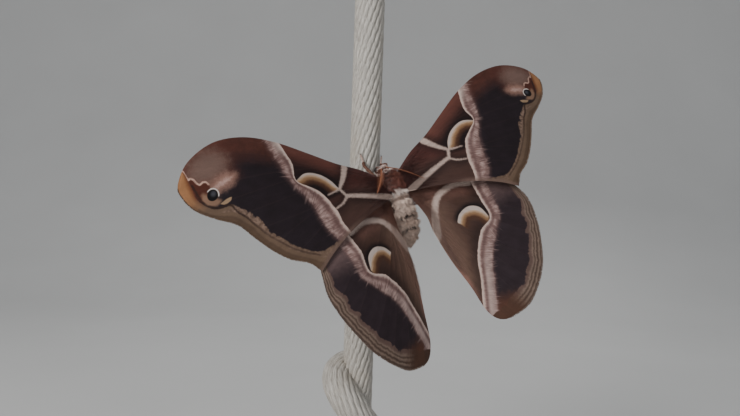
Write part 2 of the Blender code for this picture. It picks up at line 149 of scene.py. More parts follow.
F_EYE_RADIUS = 1.45
F_ZIGZAG = [(62.6, 24.6), (62.0, 22.3), (61.7, 21.5), (61.2, 21.7), (60.5, 21.1), (60.0, 19.8),
            (59.3, 19.2), (58.6, 19.6), (57.8, 19.4), (57.3, 18.4)]
F_EYE_FIELD = [(61.8, 21.6), (61.1, 21.6), (60.4, 21.0), (59.9, 19.7), (58.8, 19.2), (57.8, 19.2),
               (57.2, 18.0), (57.4, 16.4), (59.0, 14.6), (60.4, 14.9), (61.3, 17.1), (61.7, 19.5)]
F_LENS = [(56.2, 12.6), (54.3, 13.1), (52.6, 13.2), (53.3, 12.2), (55.0, 11.9)]
F_BLUSH = [(56.4, 17.4), (54.7, 18.2), (52.3, 18.5), (50.4, 17.9), (51.7, 16.7), (54.2, 16.4),
           (55.8, 16.1)]
# Grey patch at the tip: partly the wing's own grey scales, partly painted sheen.
F_SILVER_SHEEN = [(60.4, 22.0), (59.2, 24.2), (56.2, 25.3), (53.6, 24.8), (51.9, 22.9), (52.9, 20.8),
            (55.8, 19.8), (58.1, 20.3)]
F_VEINS = [
    [(4.0, 3.0), (16.0, 9.6), (30.0, 18.4), (42.0, 25.0), (50.0, 27.4)],
    [(4.0, 2.4), (14.0, 7.0), (24.0, 11.5), (40.0, 20.4), (57.5, 26.6)],
    [(24.0, 11.5), (44.0, 19.2), (63.4, 23.2)],
    [(24.0, 11.5), (44.0, 15.6), (64.6, 18.6)],
    [(24.0, 10.6), (42.0, 11.6), (62.2, 13.2)],
    [(25.0, 6.5), (42.0, 7.0), (57.0, 8.2)],
    [(24.0, 1.5), (38.0, 1.4), (52.2, 2.6)],
    [(4.0, 0.6), (12.0, 0.6), (24.0, 1.5), (36.0, -0.6), (48.4, -3.8)],
    [(17.0, 0.7), (30.0, -3.8), (44.2, -9.0)],
    [(4.0, -2.6), (14.0, -4.9), (26.0, -8.4), (38.4, -14.2)],
]

# ------------------------------------------------ markings on the flat hindwing

H_BAND_INNER = [(24.1, -10.4), (23.9, -16.8), (24.0, -22.9), (18.9, -25.6), (14.2, -32.3), (12.0, -38.5),
                (9.2, -45.5)]
H_BAND_OUTER = [(28.6, -11.4), (27.9, -17.6), (27.0, -23.8), (22.9, -28.6), (18.2, -34.6), (15.9, -40.4),
                (13.4, -46.8)]
H_STROKES = [([(23.4, -10.0), (18.0, -8.4), (11.9, -9.6), (8.6, -13.6), (6.9, -17.8), (5.6, -21.6)],
              0.75, 1.10)]
H_MOON = [(23.8, -22.7), (22.5, -18.7), (19.2, -16.8), (15.5, -17.7), (13.4, -20.0)]
H_MOON_WHITE = [(23.6, -22.6), (22.2, -20.4), (20.4, -18.8), (17.9, -18.2), (15.8, -18.7), (14.3, -20.6)]
H_MOON_GLOW = [(23.4, -23.6), (21.4, -25.2), (18.4, -25.2), (15.6, -23.6), (14.4, -21.2)]
H_RIM = [(34.4, -13.0), (35.4, -17.2), (35.8, -20.7), (36.0, -23.7), (34.5, -25.9), (34.0, -27.7),
         (34.2, -30.3), (32.2, -32.7), (32.6, -34.3), (30.9, -36.8), (29.6, -38.8), (29.0, -40.8),
         (26.2, -43.4), (23.7, -46.3), (18.6, -48.1), (14.3, -49.9), (11.4, -50.6)]
H_VEINS = [
    [(4.0, -3.4), (16.0, -5.4), (28.0, -10.0), (35.0, -14.4)],
    [(4.0, -3.6), (14.0, -8.0), (26.0, -13.0), (38.6, -20.6)],
    [(14.0, -8.0), (26.0, -18.0), (38.7, -28.6)],
    [(13.0, -12.0), (24.0, -23.6), (36.6, -36.0)],
    [(10.5, -16.0), (21.0, -30.0), (32.9, -43.6)],
    [(4.4, -5.0), (10.5, -16.0), (18.0, -32.0), (27.8, -49.4)],
    [(8.5, -12.4), (13.6, -30.0), (21.7, -53.4)],
    [(4.2, -6.0), (8.0, -24.0), (11.0, -40.0), (14.4, -53.8)],
]

WING_GRAIN = 0.36              # size of a wing's mesh cells
WING_HALF = 0.12               # half a wing's thickness
COSTA_HALF = 0.25              # and at its stiff front edge
COSTA_REACH = 0.9              # how far in from that edge the extra thickness fades
EDGE_ROUNDING = 0.8            # how far in from its rim the wing thins
VEIN_HEIGHT = 0.06
VEIN_REACH = 0.28
PLEAT_DEPTH = 0.13             # how far the membrane sinks between veins
PLEAT_REACH = 2.2
RELIEF_START = 1.5             # how far in from the rim veins and pleats are at their full height
FRINGE = 0.45                  # scales that stand out past the membrane at the outer margin
FRINGE_FADE = 4.0              # how far from a corner they are full
FRINGE_SPACING = 0.040         # between scale tufts, on average
WING_NOISE_SHIFT = 3.7         # keeps the mottling of the left and right wings apart


# ================================================ geometry helpers

def smooth_line(points, steps=CURVE_STEPS):
    """A Catmull-Rom line through points, with the given steps between each two."""
    nodes = np.asarray(points, float)
    nodes = np.vstack([2 * nodes[0] - nodes[1], nodes, 2 * nodes[-1] - nodes[-2]])
    t = np.arange(steps)[:, None] / steps
    spans = []
    for a, b, c, d in zip(nodes, nodes[1:], nodes[2:], nodes[3:]):
        spans.append(0.5 * (2 * b + (c - a) * t + (2 * a - 5 * b + 4 * c - d) * t ** 2
                            + (3 * b - a - 3 * c + d) * t ** 3))
    return np.vstack([*spans, nodes[-2]])


def run_along(line):
    """How far along a line each of its points lies."""
    return np.concatenate([[0.0], np.cumsum(np.linalg.norm(np.diff(line, axis=0), axis=1))])


def even_points(line, count):
    """The same line with evenly spaced points."""
    run = run_along(line)
    return points_at(line, run, np.linspace(0, run[-1], count))


def points_at(line, run, at):
    """The points that lie some way along a line whose own run is known."""
    return np.stack([np.interp(at, run, column) for column in line.T], axis=1)


def unit(vectors):
    return vectors / np.maximum(np.linalg.norm(vectors, axis=-1, keepdims=True), 1e-12)


def side_of(name):
    """-1 for a left part and 1 for a right one."""
    return SIDES[name.split("_")[-1]]


def inset(uvs):
    """Keeps an unwrap just clear of the map's edges."""
    return uvs * 0.996 + 0.002


def smooth_step(value, low, high):
    t = np.clip((value - low) / (high - low), 0, 1)
    return t * t * (3 - 2 * t)


def extended(line, by=6.0):
    """A line with a straight run added at each end, so that nothing lies past it."""
    first = line[0] + unit(line[0] - line[1]) * by
    last = line[-1] + unit(line[-1] - line[-2]) * by
    return np.vstack([first, line, last])


def nearest_on(points, line):
    """For each flat point: signed distance to a line (positive on its left), and how far along it."""
    best = np.full(len(points), 1e9)
    signed = np.zeros(len(points))
    along = np.zeros(len(points))
    run = run_along(line)
    for start, end, before in zip(line, line[1:], run):
        step = end - start
        length = np.linalg.norm(step)
        offset = points - start
        t = np.clip(offset @ step / length ** 2, 0, 1)
        distance = np.linalg.norm(offset - t[:, None] * step, axis=1)
        side = np.where(step[0] * offset[:, 1] - step[1] * offset[:, 0] >= 0, 1.0, -1.0)
        closer = distance < best
        best[closer] = distance[closer]
        signed[closer] = (distance * side)[closer]
        along[closer] = (before + t * length)[closer]
    return signed, along


def outline_distance(points, corners):
    """Signed distance to a closed smooth outline, negative inside."""
    line = np.vstack([corners, corners[:1]])
    distance = np.abs(nearest_on(points, line)[0])
    inside = np.zeros(len(points), bool)
    for (x0, y0), (x1, y1) in zip(line, line[1:]):
        if y0 == y1:
            continue
        crosses = (points[:, 1] > y0) != (points[:, 1] > y1)
        inside ^= crosses & (points[:, 0] < (x1 - x0) * (points[:, 1] - y0) / (y1 - y0) + x0)
    return np.where(inside, -distance, distance)


def stroke_distance(points, strokes):
    """Signed distance to the edge of the nearest tapered stroke, negative on a stroke."""
    nearest = np.full(len(points), 1e9)
    for corners, start, end in strokes:
        line = smooth_line(corners) if len(corners) > 2 else np.asarray(corners, float)
        signed, along = nearest_on(points, line)
        half = start + (end - start) * along / run_along(line)[-1]
        nearest = np.minimum(nearest, np.abs(signed) - half)
    return nearest


def between(points, inner, outer):
    """0 at the inner line and 1 at the outer one; past them, distances in mm."""
    from_inner, along = nearest_on(points, extended(smooth_line(inner)))
    from_outer, _ = nearest_on(points, extended(smooth_line(outer)))
    share = from_inner / np.maximum(from_inner - from_outer, 1e-6)
    share = np.where(from_inner < 0, from_inner, np.where(from_outer > 0, 1 + from_outer, share))
    return share, from_inner, along


def make_piece(name, points, faces, material, attributes=None, uvs=None, smooth=True, sharp_angle=None):
    """A mesh object from arrays: points in metres, faces all triangles or all quads."""
    mesh = bpy.data.meshes.new(name)
    count, corners = faces.shape
    mesh.vertices.add(len(points))
    mesh.vertices.foreach_set("co", np.ascontiguousarray(points, np.float32).ravel())
    mesh.loops.add(count * corners)
    mesh.loops.foreach_set("vertex_index", np.ascontiguousarray(faces, np.int32).ravel())
    mesh.polygons.add(count)
    mesh.polygons.foreach_set("loop_start", np.arange(0, count * corners, corners, dtype=np.int32))
    mesh.update(calc_edges=True)
    for key, values in (attributes or {}).items():
        values = np.asarray(values, np.float32)
        kind = "FLOAT_VECTOR" if values.ndim == 2 else "FLOAT"
        data = mesh.attributes.new(key, kind, "POINT").data
        data.foreach_set("vector" if values.ndim == 2 else "value", values.ravel())
    if uvs is not None:
        layer = mesh.uv_layers.new(name="OFBake")
        layer.data.foreach_set("uv", np.asarray(uvs, np.float32).ravel())
    if smooth:
        mesh.shade_smooth()
    if sharp_angle is not None:
        mesh.set_sharp_from_angle(angle=math.radians(sharp_angle))
    mesh.materials.append(material)
    piece = bpy.data.objects.new(name, mesh)
    bpy.context.scene.collection.objects.link(piece)
    return piece


def grid_faces(rows, columns, closed=False):
    """Quads of a grid whose points are numbered row by row; closed joins the last column to the first."""
    across = columns if closed else columns - 1
    row, column = np.meshgrid(np.arange(rows - 1), np.arange(across), indexing="ij")
    following = (column + 1) % columns
    corners = [row * columns + column, row * columns + following,
               (row + 1) * columns + following, (row + 1) * columns + column]
    return np.stack([corner.ravel() for corner in corners], axis=1)


# ================================================ material helper

class Value:
    """A number, vector or colour on its way through a material's nodes."""

    def __init__(self, paint, socket):
        self.paint = paint
        self.socket = socket

    def __add__(self, other):
        return self.paint.math("ADD", self, other)

    def __sub__(self, other):
        return self.paint.math("SUBTRACT", self, other)

    def __mul__(self, other):
        return self.paint.math("MULTIPLY", self, other)

    def __abs__(self):
        return self.paint.math("ABSOLUTE", self)

    __radd__ = __add__
    __rmul__ = __mul__

    def __rsub__(self, other):
        return self.paint.math("SUBTRACT", other, self)


class Paint:
    """Builds one material's nodes from arithmetic."""

    def __init__(self, name):
        self.material = bpy.data.materials.new(name)
        self.material.use_nodes = True
        self.tree = self.material.node_tree
        self.shader = self.tree.nodes["Principled BSDF"]

    def feed(self, target, source):
        if isinstance(source, Value):
            self.tree.links.new(source.socket, target)
        elif isinstance(source, tuple) and len(target.default_value) == 4:
            target.default_value = (*source, 1.0)
        else:
            target.default_value = source

    def node(self, kind, inputs, output=0, **settings):
        node = self.tree.nodes.new(kind)
        for key, setting in settings.items():
            setattr(node, key, setting)
        for key, source in inputs.items():
            self.feed(node.inputs[key], source)
        return Value(self, node.outputs[output])

    def math(self, operation, *inputs):
        return self.node("ShaderNodeMath", dict(enumerate(inputs)), operation=operation)

    def stored(self, name):
        return self.node("ShaderNodeAttribute", {}, "Fac", attribute_name=name)

    def stored_vector(self, name):
        return self.node("ShaderNodeAttribute", {}, "Vector", attribute_name=name)

    def split(self, vector):
        node = self.tree.nodes.new("ShaderNodeSeparateXYZ")
        self.feed(node.inputs[0], vector)
        return [Value(self, socket) for socket in node.outputs]

    def join(self, x, y, z):
        return self.node("ShaderNodeCombineXYZ", {0: x, 1: y, 2: z})

    def ramp(self, value, low, high):
        """0 at low, 1 at high, smooth between."""
        inputs = {"Value": value, "From Min": low, "From Max": high}
        return self.node("ShaderNodeMapRange", inputs, interpolation_type="SMOOTHSTEP")

    def bump_at(self, value, middle, half_width):
        """1 where the value is at the middle, 0 from half_width away."""
        return self.ramp(abs(value - middle), half_width, 0.0)

    def mix(self, under, over, amount):
        """The colour over laid on the colour under."""
        return self.node("ShaderNodeMix", {0: amount, 6: under, 7: over}, 2, data_type="RGBA")

    def noise(self, place, scale, detail=2.0, roughness=0.5):
        inputs = {"Vector": place, "Scale": scale, "Detail": detail, "Roughness": roughness}
        return self.node("ShaderNodeTexNoise", inputs)

    def cells(self, place, scale, output="Distance"):
        return self.node("ShaderNodeTexVoronoi", {"Vector": place, "Scale": scale}, output)

    def brightened(self, colour, factor):
        """The colour times a number."""
        return self.node("ShaderNodeVectorMath", {0: colour, "Scale": factor}, operation="SCALE")

    def finish(self, colour, roughness, height=None, bump=0.3, depth=0.02, specular=0.5, sheen=0.0):
        self.feed(self.shader.inputs["Base Color"], colour)
        self.feed(self.shader.inputs["Roughness"], roughness)
        self.shader.inputs["Specular IOR Level"].default_value = specular
        self.shader.inputs["Sheen Weight"].default_value = sheen
        self.shader.inputs["Sheen Roughness"].default_value = 0.4
        if height is not None:
            inputs = {"Height": height, "Strength": bump, "Distance": depth * MM}
            normal = self.node("ShaderNodeBump", inputs)
            self.feed(self.shader.inputs["Normal"], normal)
        return self.material


def tone(red, green, blue):
    """A colour from 0 to 255 as it looks, in linear light."""
    return tuple(math.pow(max(level, 1) / 255.0, 2.2) for level in (red, green, blue))


# ================================================ camera, light and floor

CAMERA_DISTANCE = 250.0        # from the moth's thorax
CAMERA_ROLL = 1.9              # degrees
CAMERA_LENS = 38.29
CAMERA_SHIFT = (-0.0292, -0.03135)
LIGHT_TARGET = (0.0, 0.0, 0.11)
# Each lamp's place in metres, size, power and colour.
LAMPS = {
    "key": ((-0.42, -0.58, 0.38), 0.4, 5.8, (1.0, 0.98, 0.97)),
    "fill": ((0.32, -0.60, 0.14), 0.5, 1.0, (0.93, 0.96, 1.0)),
    "back": ((0.1, 0.5, 0.5), 0.4, 1.2, (1.0, 1.0, 1.0)),
}
ROOM_COLOUR = (0.92, 0.95, 1.0, 1.0)
ROOM_STRENGTH = 0.42
FLOOR_FRONT = -1.6             # the floor and backdrop, in metres
FLOOR_BACK = 0.45
SWEEP_RADIUS = 0.5
BACKDROP_TOP = 2.2
FLOOR_HALF_WIDTH = 2.2


def add_camera():
    camera = bpy.data.cameras.new("camera")
    camera.sensor_width = 36.0
    camera.lens = CAMERA_LENS
    camera.shift_x, camera.shift_y = CAMERA_SHIFT
    camera.clip_start = 0.01
    viewer = bpy.data.objects.new("camera", camera)
    bpy.context.scene.collection.objects.link(viewer)
    place = Vector(MOTH_PLACE) - Vector((0.0, CAMERA_DISTANCE, 0.0))
    level = Matrix.Rotation(math.radians(90.0), 4, "X")
    roll = Matrix.Rotation(math.radians(CAMERA_ROLL), 4, "Z")
    viewer.matrix_world = Matrix.Translation(place * MM) @ level @ roll
    bpy.context.scene.camera = viewer


def add_light(name, place, size, power, colour):
    lamp = bpy.data.lights.new(name, "AREA")
    lamp.shape = "DISK"
    lamp.size = size
    lamp.energy = power
    lamp.color = colour
    item = bpy.data.objects.new(name, lamp)
    bpy.context.scene.collection.objects.link(item)
    item.location = place
    item.rotation_euler = (Vector(LIGHT_TARGET) - Vector(place)).to_track_quat("-Z", "Y").to_euler()


def add_lighting():
    world = bpy.data.worlds.new("soft_room")
    world.use_nodes = True
    background = world.node_tree.nodes["Background"]
    background.inputs["Color"].default_value = ROOM_COLOUR
    background.inputs["Strength"].default_value = ROOM_STRENGTH
    bpy.context.scene.world = world
    for name, lamp in LAMPS.items():
        add_light(name, *lamp)


def add_floor():
    """A pale floor that sweeps up into a backdrop far behind."""
    paint = Paint("studio_floor")
    place = paint.node("ShaderNodeTexCoord", {}, "Object")
    mottle = paint.noise(place, 9.0, 3.0)
    colour = paint.mix(tone(186, 186, 184), tone(196, 196, 194), mottle)
    material = paint.finish(colour, 0.8, specular=0.2)
    profile = [(FLOOR_FRONT, 0.0), (FLOOR_BACK, 0.0)]
    for angle in np.linspace(0, math.pi / 2, 24)[1:]:
        profile.append((FLOOR_BACK + SWEEP_RADIUS * math.sin(angle), SWEEP_RADIUS * (1 - math.cos(angle))))
    profile.append((FLOOR_BACK + SWEEP_RADIUS, BACKDROP_TOP))
    points = np.array([(x, y, z) for y, z in profile for x in (-FLOOR_HALF_WIDTH, FLOOR_HALF_WIDTH)])
    floor = make_piece("studio_floor", points, grid_faces(len(profile), 2), material)


# ================================================ the moth's own frame

def moth_matrix():
    turn = Matrix.Rotation(math.radians(90.0), 4, "X") @ Matrix.Rotation(math.radians(HEAD_LEAN), 4, "Z")
    turn = turn @ Matrix.Rotation(math.radians(BACK_TILT), 4, "X")
    turn = turn @ Matrix.Rotation(math.radians(BACK_ROLL), 4, "Y")
    return np.array(Matrix.Translation(Vector(MOTH_PLACE)) @ turn)


MOTH = moth_matrix()


def to_world(points):
    """From the moth's frame in mm to the scene in metres."""
    return (np.asarray(points, float) @ MOTH[:3, :3].T + MOTH[:3, 3]) * MM


def world_direction(vectors):
    return np.asarray(vectors, float) @ MOTH[:3, :3].T


# ================================================ wings

def wing_edges(shape):
    """A flat wing's costa, margin and inner edge as smooth lines that follow one another round it."""
    split = CURVE_STEPS * (len(shape["costa"]) - 1)
    if shape["smooth_corner"] == "tip":
        front = smooth_line(shape["costa"] + shape["margin"][1:])
        return front[:split + 1], front[split:], smooth_line(shape["inner"])
    whole = smooth_line(shape["costa"] + shape["margin"][1:] + shape["inner"][1:])
    corner = split + CURVE_STEPS * (len(shape["margin"]) - 1)
    return whole[:split + 1], whole[split:corner + 1], whole[corner:]


def wing_grid(shape):
    """Flat points over the wing, out from the root by rows and forwards by columns (a Coons patch)."""
    costa, margin, inner = wing_edges(shape)
    rows = int(run_along(costa)[-1] / WING_GRAIN)
    columns = int(run_along(margin)[-1] / WING_GRAIN)
    top = even_points(costa, rows)
    bottom = even_points(inner, rows)[::-1]
    right = even_points(margin, columns)[::-1]
    outward = unit(np.gradient(right, axis=0))[:, ::-1] * (1.0, -1.0)
    from_corner = np.minimum(np.arange(columns), np.arange(columns)[::-1]) * WING_GRAIN
    taper = smooth_step(from_corner, 0, FRINGE_FADE)[:, None]
    right = right - outward * FRINGE * taper
    left = np.linspace(bottom[0], top[0], columns)
    u = np.linspace(0, 1, rows)[:, None, None]
    v = np.linspace(0, 1, columns)[None, :, None]
    ruled = (1 - v) * bottom[:, None] + v * top[:, None] + (1 - u) * left[None] + u * right[None]
    corners = ((1 - u) * (1 - v) * bottom[0] + u * (1 - v) * bottom[-1]
               + (1 - u) * v * top[0] + u * v * top[-1])
    return ruled - corners


def wing_tuck(flat, root):
    """How far a hind wing's front edge dips, to pass under the fore wing."""
    edge = root[1] + (flat[:, 0] - root[0]) * TUCK_SLOPE
    rise = smooth_step(flat[:, 1] - edge, -6.0, TUCK_WIDTH - 6.0)
    return TUCK_DEPTH * rise * np.clip((flat[:, 0] - root[0]) / 8.0, 0, 1)


def wing_place(name, flat, lift):
    """Flat points, each lifted off the wing's middle by some mm, in the moth's frame."""
    shape = HINDWING if name.startswith("hind") else FOREWING
    side = side_of(name)
    root = np.array(shape["root"])
    sweep, rise, twist, bend, warp, cup, curl, chord = WING_POSES[name]
    out = flat[:, 0] - root[0]
    fore = (flat[:, 1] - root[1]) * chord
    up = lift - (bend * out ** 2 + warp * out * fore + cup * fore ** 2 + curl * out ** 3)
    if name.startswith("hind"):
        up = up - wing_tuck(flat, root)
    turn = (Matrix.Rotation(math.radians(sweep), 3, "Z") @ Matrix.Rotation(math.radians(-rise), 3, "Y")
            @ Matrix.Rotation(math.radians(twist), 3, "X"))
    place = np.stack([out, fore, up], axis=1) @ np.array(turn).T + root
    return place * (side, 1.0, 1.0)


def on_wing(name, flat, lean, lift):
    """Root in mm, outward normal and direction, in the scene's frame, of hairs on the flat wing."""
    step = 0.2
    here = wing_place(name, flat, lift)
    ahead = wing_place(name, flat + lean * step, lift)
    above = wing_place(name, flat, lift + step)
    return to_world(here) / MM, world_direction(unit(above - here)), world_direction(unit(ahead - here))


def vein_distance(flat, veins):
    distance = np.full(len(flat), 1e9)
    for vein in veins:
        distance = np.minimum(distance, np.abs(nearest_on(flat, smooth_line(vein))[0]))
    return distance


def moon_fields(flat, moon, white, glow):
    """Distances for an eye-like crescent: its white rim, its warm inside and how deep in that is."""
    arc = smooth_line(moon)
    inner = smooth_line(white)
    fields = {"moon": outline_distance(flat, np.vstack([arc, inner[::-1]]))}
    fields["moon_warm"] = outline_distance(flat, np.vstack([arc, smooth_line(glow)[::-1]]))
    depth = np.abs(nearest_on(flat, inner)[0])
    fields["moon_depth"] = np.where(fields["moon"] < 0, 0.0, depth)
    return fields


def rim_fields(flat, shape, rim):
    """How far in from the outer margin a point lies, as a share of the border's width there."""
    _, margin, _ = wing_edges(shape)
    edge = np.abs(nearest_on(flat, extended(margin, 2.0))[0])
    past, along = nearest_on(flat, extended(smooth_line(rim), 3.0))
    share = edge / np.maximum(edge + past, 1e-6)
    return {"edge": edge, "rim": np.where(past > 0, share, 1 - past), "rim_along": along}


def common_fields(flat, shape, band_inner, band_outer, strokes, veins, side):
    costa, _, inner = wing_edges(shape)
    fields = {"bars": stroke_distance(flat, strokes), "vein": vein_distance(flat, veins)}
    fields["band"], fields["band_mm"], band_along = between(flat, band_inner, band_outer)
    fields["costa"] = np.abs(nearest_on(flat, costa)[0])
    fields["inner"] = np.abs(nearest_on(flat, inner)[0])
    seed = np.full(len(flat), WING_NOISE_SHIFT * side)
    fields["flat"] = np.stack([flat[:, 0], flat[:, 1], seed], axis=1)
    angle = np.arctan2(flat[:, 1] - shape["root"][1] - 1.0, flat[:, 0] + 8.0)
    reach = np.hypot(flat[:, 1] - shape["root"][1] - 1.0, flat[:, 0] + 8.0)
    fields["rays"] = np.stack([angle * 40.0, reach * 0.16, seed], axis=1)
    fields["band_rays"] = np.stack([band_along, fields["band_mm"] * 0.16, seed], axis=1)
    return fields


def forewing_fields(flat, side):
    fields = common_fields(flat, FOREWING, F_BAND_INNER, F_BAND_OUTER, F_STROKES, F_VEINS, side)
    fields.update(moon_fields(flat, F_MOON, F_MOON_WHITE, F_MOON_GLOW))
    fields.update(rim_fields(flat, FOREWING, F_RIM))
    fields["rim_line"] = np.abs(nearest_on(flat, smooth_line(F_RIM_LINE))[0])
    fields["zigzag"] = np.abs(nearest_on(flat, np.asarray(F_ZIGZAG, float))[0])
    fields["eye_field"] = outline_distance(flat, np.asarray(F_EYE_FIELD, float))
    fields["lens"] = outline_distance(flat, np.asarray(F_LENS, float))
    fields["blush"] = outline_distance(flat, np.asarray(F_BLUSH, float))
    fields["silver_sheen"] = outline_distance(flat, np.asarray(F_SILVER_SHEEN, float))
    return fields


def hindwing_fields(flat, side):
    fields = common_fields(flat, HINDWING, H_BAND_INNER, H_BAND_OUTER, H_STROKES, H_VEINS, side)
    fields.update(moon_fields(flat, H_MOON, H_MOON_WHITE, H_MOON_GLOW))
    fields.update(rim_fields(flat, HINDWING, H_RIM))
    return fields


def wing_thickness(fields):
    """Half the sheet's thickness and the height of its veins and pleats, all less near the edge."""
    outline = np.minimum(np.minimum(fields["edge"] - FRINGE, fields["costa"]), fields["inner"])
    rounding = np.sqrt(np.clip(outline / EDGE_ROUNDING, 0, 1))
    half = WING_HALF + (COSTA_HALF - WING_HALF) * np.exp(-(fields["costa"] / COSTA_REACH) ** 2)
    near_vein = np.exp(-(fields["vein"] / VEIN_REACH) ** 2)
    pleat = 1 - np.exp(-(fields["vein"] / PLEAT_REACH) ** 2)
    relief = (VEIN_HEIGHT * near_vein - PLEAT_DEPTH * pleat) * np.clip(outline / RELIEF_START, 0, 1)
    return half * rounding, relief


def wing_sheet(rows, columns):
    """The grid's points inside its border, which are doubled, and the upper and lower quads."""
    lower = np.arange(rows * columns)
    inside = lower.reshape(rows, columns)[1:-1, 1:-1].ravel()
    lower[inside] = rows * columns + np.arange(len(inside))
    quads = grid_faces(rows, columns)
    return inside, quads, lower[quads][:, ::-1]


def wing_unwrap(flat, quads):
    """The upper face lies on the left half of the map and the lower one on the right half."""
    low = flat.min(axis=0)
    span = (flat.max(axis=0) - low).max()
    spread = (flat - low) / span * 0.48 + 0.01
    uvs = spread[np.vstack([quads, quads[:, ::-1]])]
    uvs[len(quads):, :, 0] += 0.5
    return uvs


def add_wing(name, material):
    """Upper and lower skins that share their border, with veins, pleats and a stiff front edge."""
    hind = name.startswith("hind")
    side = side_of(name)
    grid = wing_grid(HINDWING if hind else FOREWING)
    flat = grid.reshape(-1, 2)
    fields = (hindwing_fields if hind else forewing_fields)(flat, side)
    half, relief = wing_thickness(fields)
    inside, quads, under_quads = wing_sheet(*grid.shape[:2])
    rise = np.zeros(len(flat))
    rise[inside] = half[inside]
    upper = wing_place(name, flat, relief + rise)
    lower = wing_place(name, flat, relief - half)
    points = to_world(np.vstack([upper, lower[inside]]))
    faces = np.vstack([quads, under_quads])
    uvs = wing_unwrap(flat, quads)
    if side > 0:               # so that the faces of both look outwards
        faces = faces[:, ::-1]
        uvs = uvs[:, ::-1]
    attributes = {key: np.concatenate([values, values[inside]]) for key, values in fields.items()}
    attributes["under"] = np.concatenate([np.zeros(len(flat)), np.ones(len(inside))])
    piece = make_piece(name + "_scales", points, faces, material, attributes, uvs.reshape(-1, 2),
                       sharp_angle=60)
    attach(piece, "root")
    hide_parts(name)
    return piece


def band_colour(paint, ground, spread):
    """The pale double band across a wing: a cream line, a mauve one, then pink that frays outwards."""
    band = paint.stored("band")
    flat = paint.stored_vector("flat")
    bristles = paint.noise(paint.stored_vector("band_rays"), 2.2, 4.0, 0.6)
    patches = paint.noise(flat, 0.40, 2.0)
    share = band + (paint.noise(flat, 0.9) - 0.5) * 0.14 + (paint.noise(flat, 4.0) - 0.5) * 0.08
    start = paint.ramp(share, -0.02, 0.03)
    haze = paint.ramp(share + (0.5 - bristles) * 0.9 + (0.5 - patches) * 1.0, spread + 0.3, 0.3) * start
    colour = paint.mix(ground, tone(90, 68, 65), haze * 0.7)
    glow = paint.ramp(share + (0.5 - bristles) * 1.1 + (0.5 - patches) * 1.2, 1.75, 0.45) * start
    cloud = paint.ramp(bristles * 0.6 + patches * 0.4, 0.42, 0.64)
    pink = paint.mix(tone(114, 90, 85), tone(162, 137, 130), cloud)
    colour = paint.mix(colour, pink, glow * 0.85)
    along, across, seed = paint.split(paint.stored_vector("band_rays"))
    streaks = paint.noise(paint.join(along * 0.8, across * 0.25, seed), 3.4, 1.0)
    reach = paint.ramp(share + (patches - 0.5) * 2.4, 3.6, 1.0) * start
    colour = paint.mix(colour, tone(136, 113, 108), paint.ramp(streaks, 0.60, 0.74) * reach * 0.55)
    colour = paint.mix(colour, tone(82, 60, 57), paint.bump_at(share, 0.40, 0.28) * 0.75)
    cream = paint.ramp(share, -0.07, 0.08) * paint.ramp(share, 0.28, 0.08)
    colour = paint.mix(colour, tone(178, 156, 145), cream)
    shoulder = paint.ramp(share, 0.9, 0.2) * paint.ramp(share, 0.0, 0.1)
    shoulder = shoulder * paint.ramp(paint.stored("costa"), 5.0, 0.5)
    return paint.mix(colour, tone(186, 168, 158), shoulder * 0.6)


def moon_colour(paint, ground, shade_amount):
    """The crescent: dark shade outside, a white rim, and tan that deepens to brown inside it."""
    moon = paint.stored("moon")
    warm = paint.stored("moon_warm")
    depth = paint.stored("moon_depth") + (paint.noise(paint.stored_vector("flat"), 1.2) - 0.5) * 0.5
    shade = paint.ramp(warm, 2.1, 0.0) * shade_amount
    colour = paint.mix(ground, tone(22, 16, 17), shade)
    inside = paint.mix(tone(162, 136, 112), tone(122, 93, 68), paint.ramp(depth, 0.0, 0.9))
    inside = paint.mix(inside, tone(70, 47, 35), paint.ramp(depth, 0.8, 2.0))
    colour = paint.mix(colour, inside, paint.ramp(warm, 0.1, -0.35) * paint.ramp(depth, 3.6, 1.6))
    colour = paint.mix(colour, tone(28, 20, 19), paint.bump_at(warm, 0.25, 0.25) * shade_amount)
    return paint.mix(colour, tone(166, 151, 142), paint.ramp(moon, 0.12, -0.18))


def scale_finish(paint, colour):
    """Grain of the wing scales, paler veins, a duller underside, and a satin surface."""
    flat = paint.stored_vector("flat")
    rays = paint.noise(paint.stored_vector("rays"), 1.0, 4.0, 0.65)
    mottle = paint.noise(flat, 0.22, 3.0)
    grain = paint.noise(flat, 7.0, 2.0)
    level = 0.45 + rays * 0.50 + mottle * 0.30 + grain * 0.30
    colour = paint.brightened(colour, level)
    vein = paint.ramp(paint.stored("vein"), 0.26, 0.05)
    colour = paint.mix(colour, tone(84, 66, 62), vein * 0.06)
    dull = paint.mix(colour, tone(104, 84, 72), 0.42)
    colour = paint.mix(colour, dull, paint.stored("under"))
    scales = paint.cells(flat, 6.5)
    height = scales * 0.7 + rays * 0.5
    roughness = 0.45 + grain * 0.25
    return paint.finish(colour, roughness, height, bump=0.6, depth=0.06, specular=0.16, sheen=0.03)


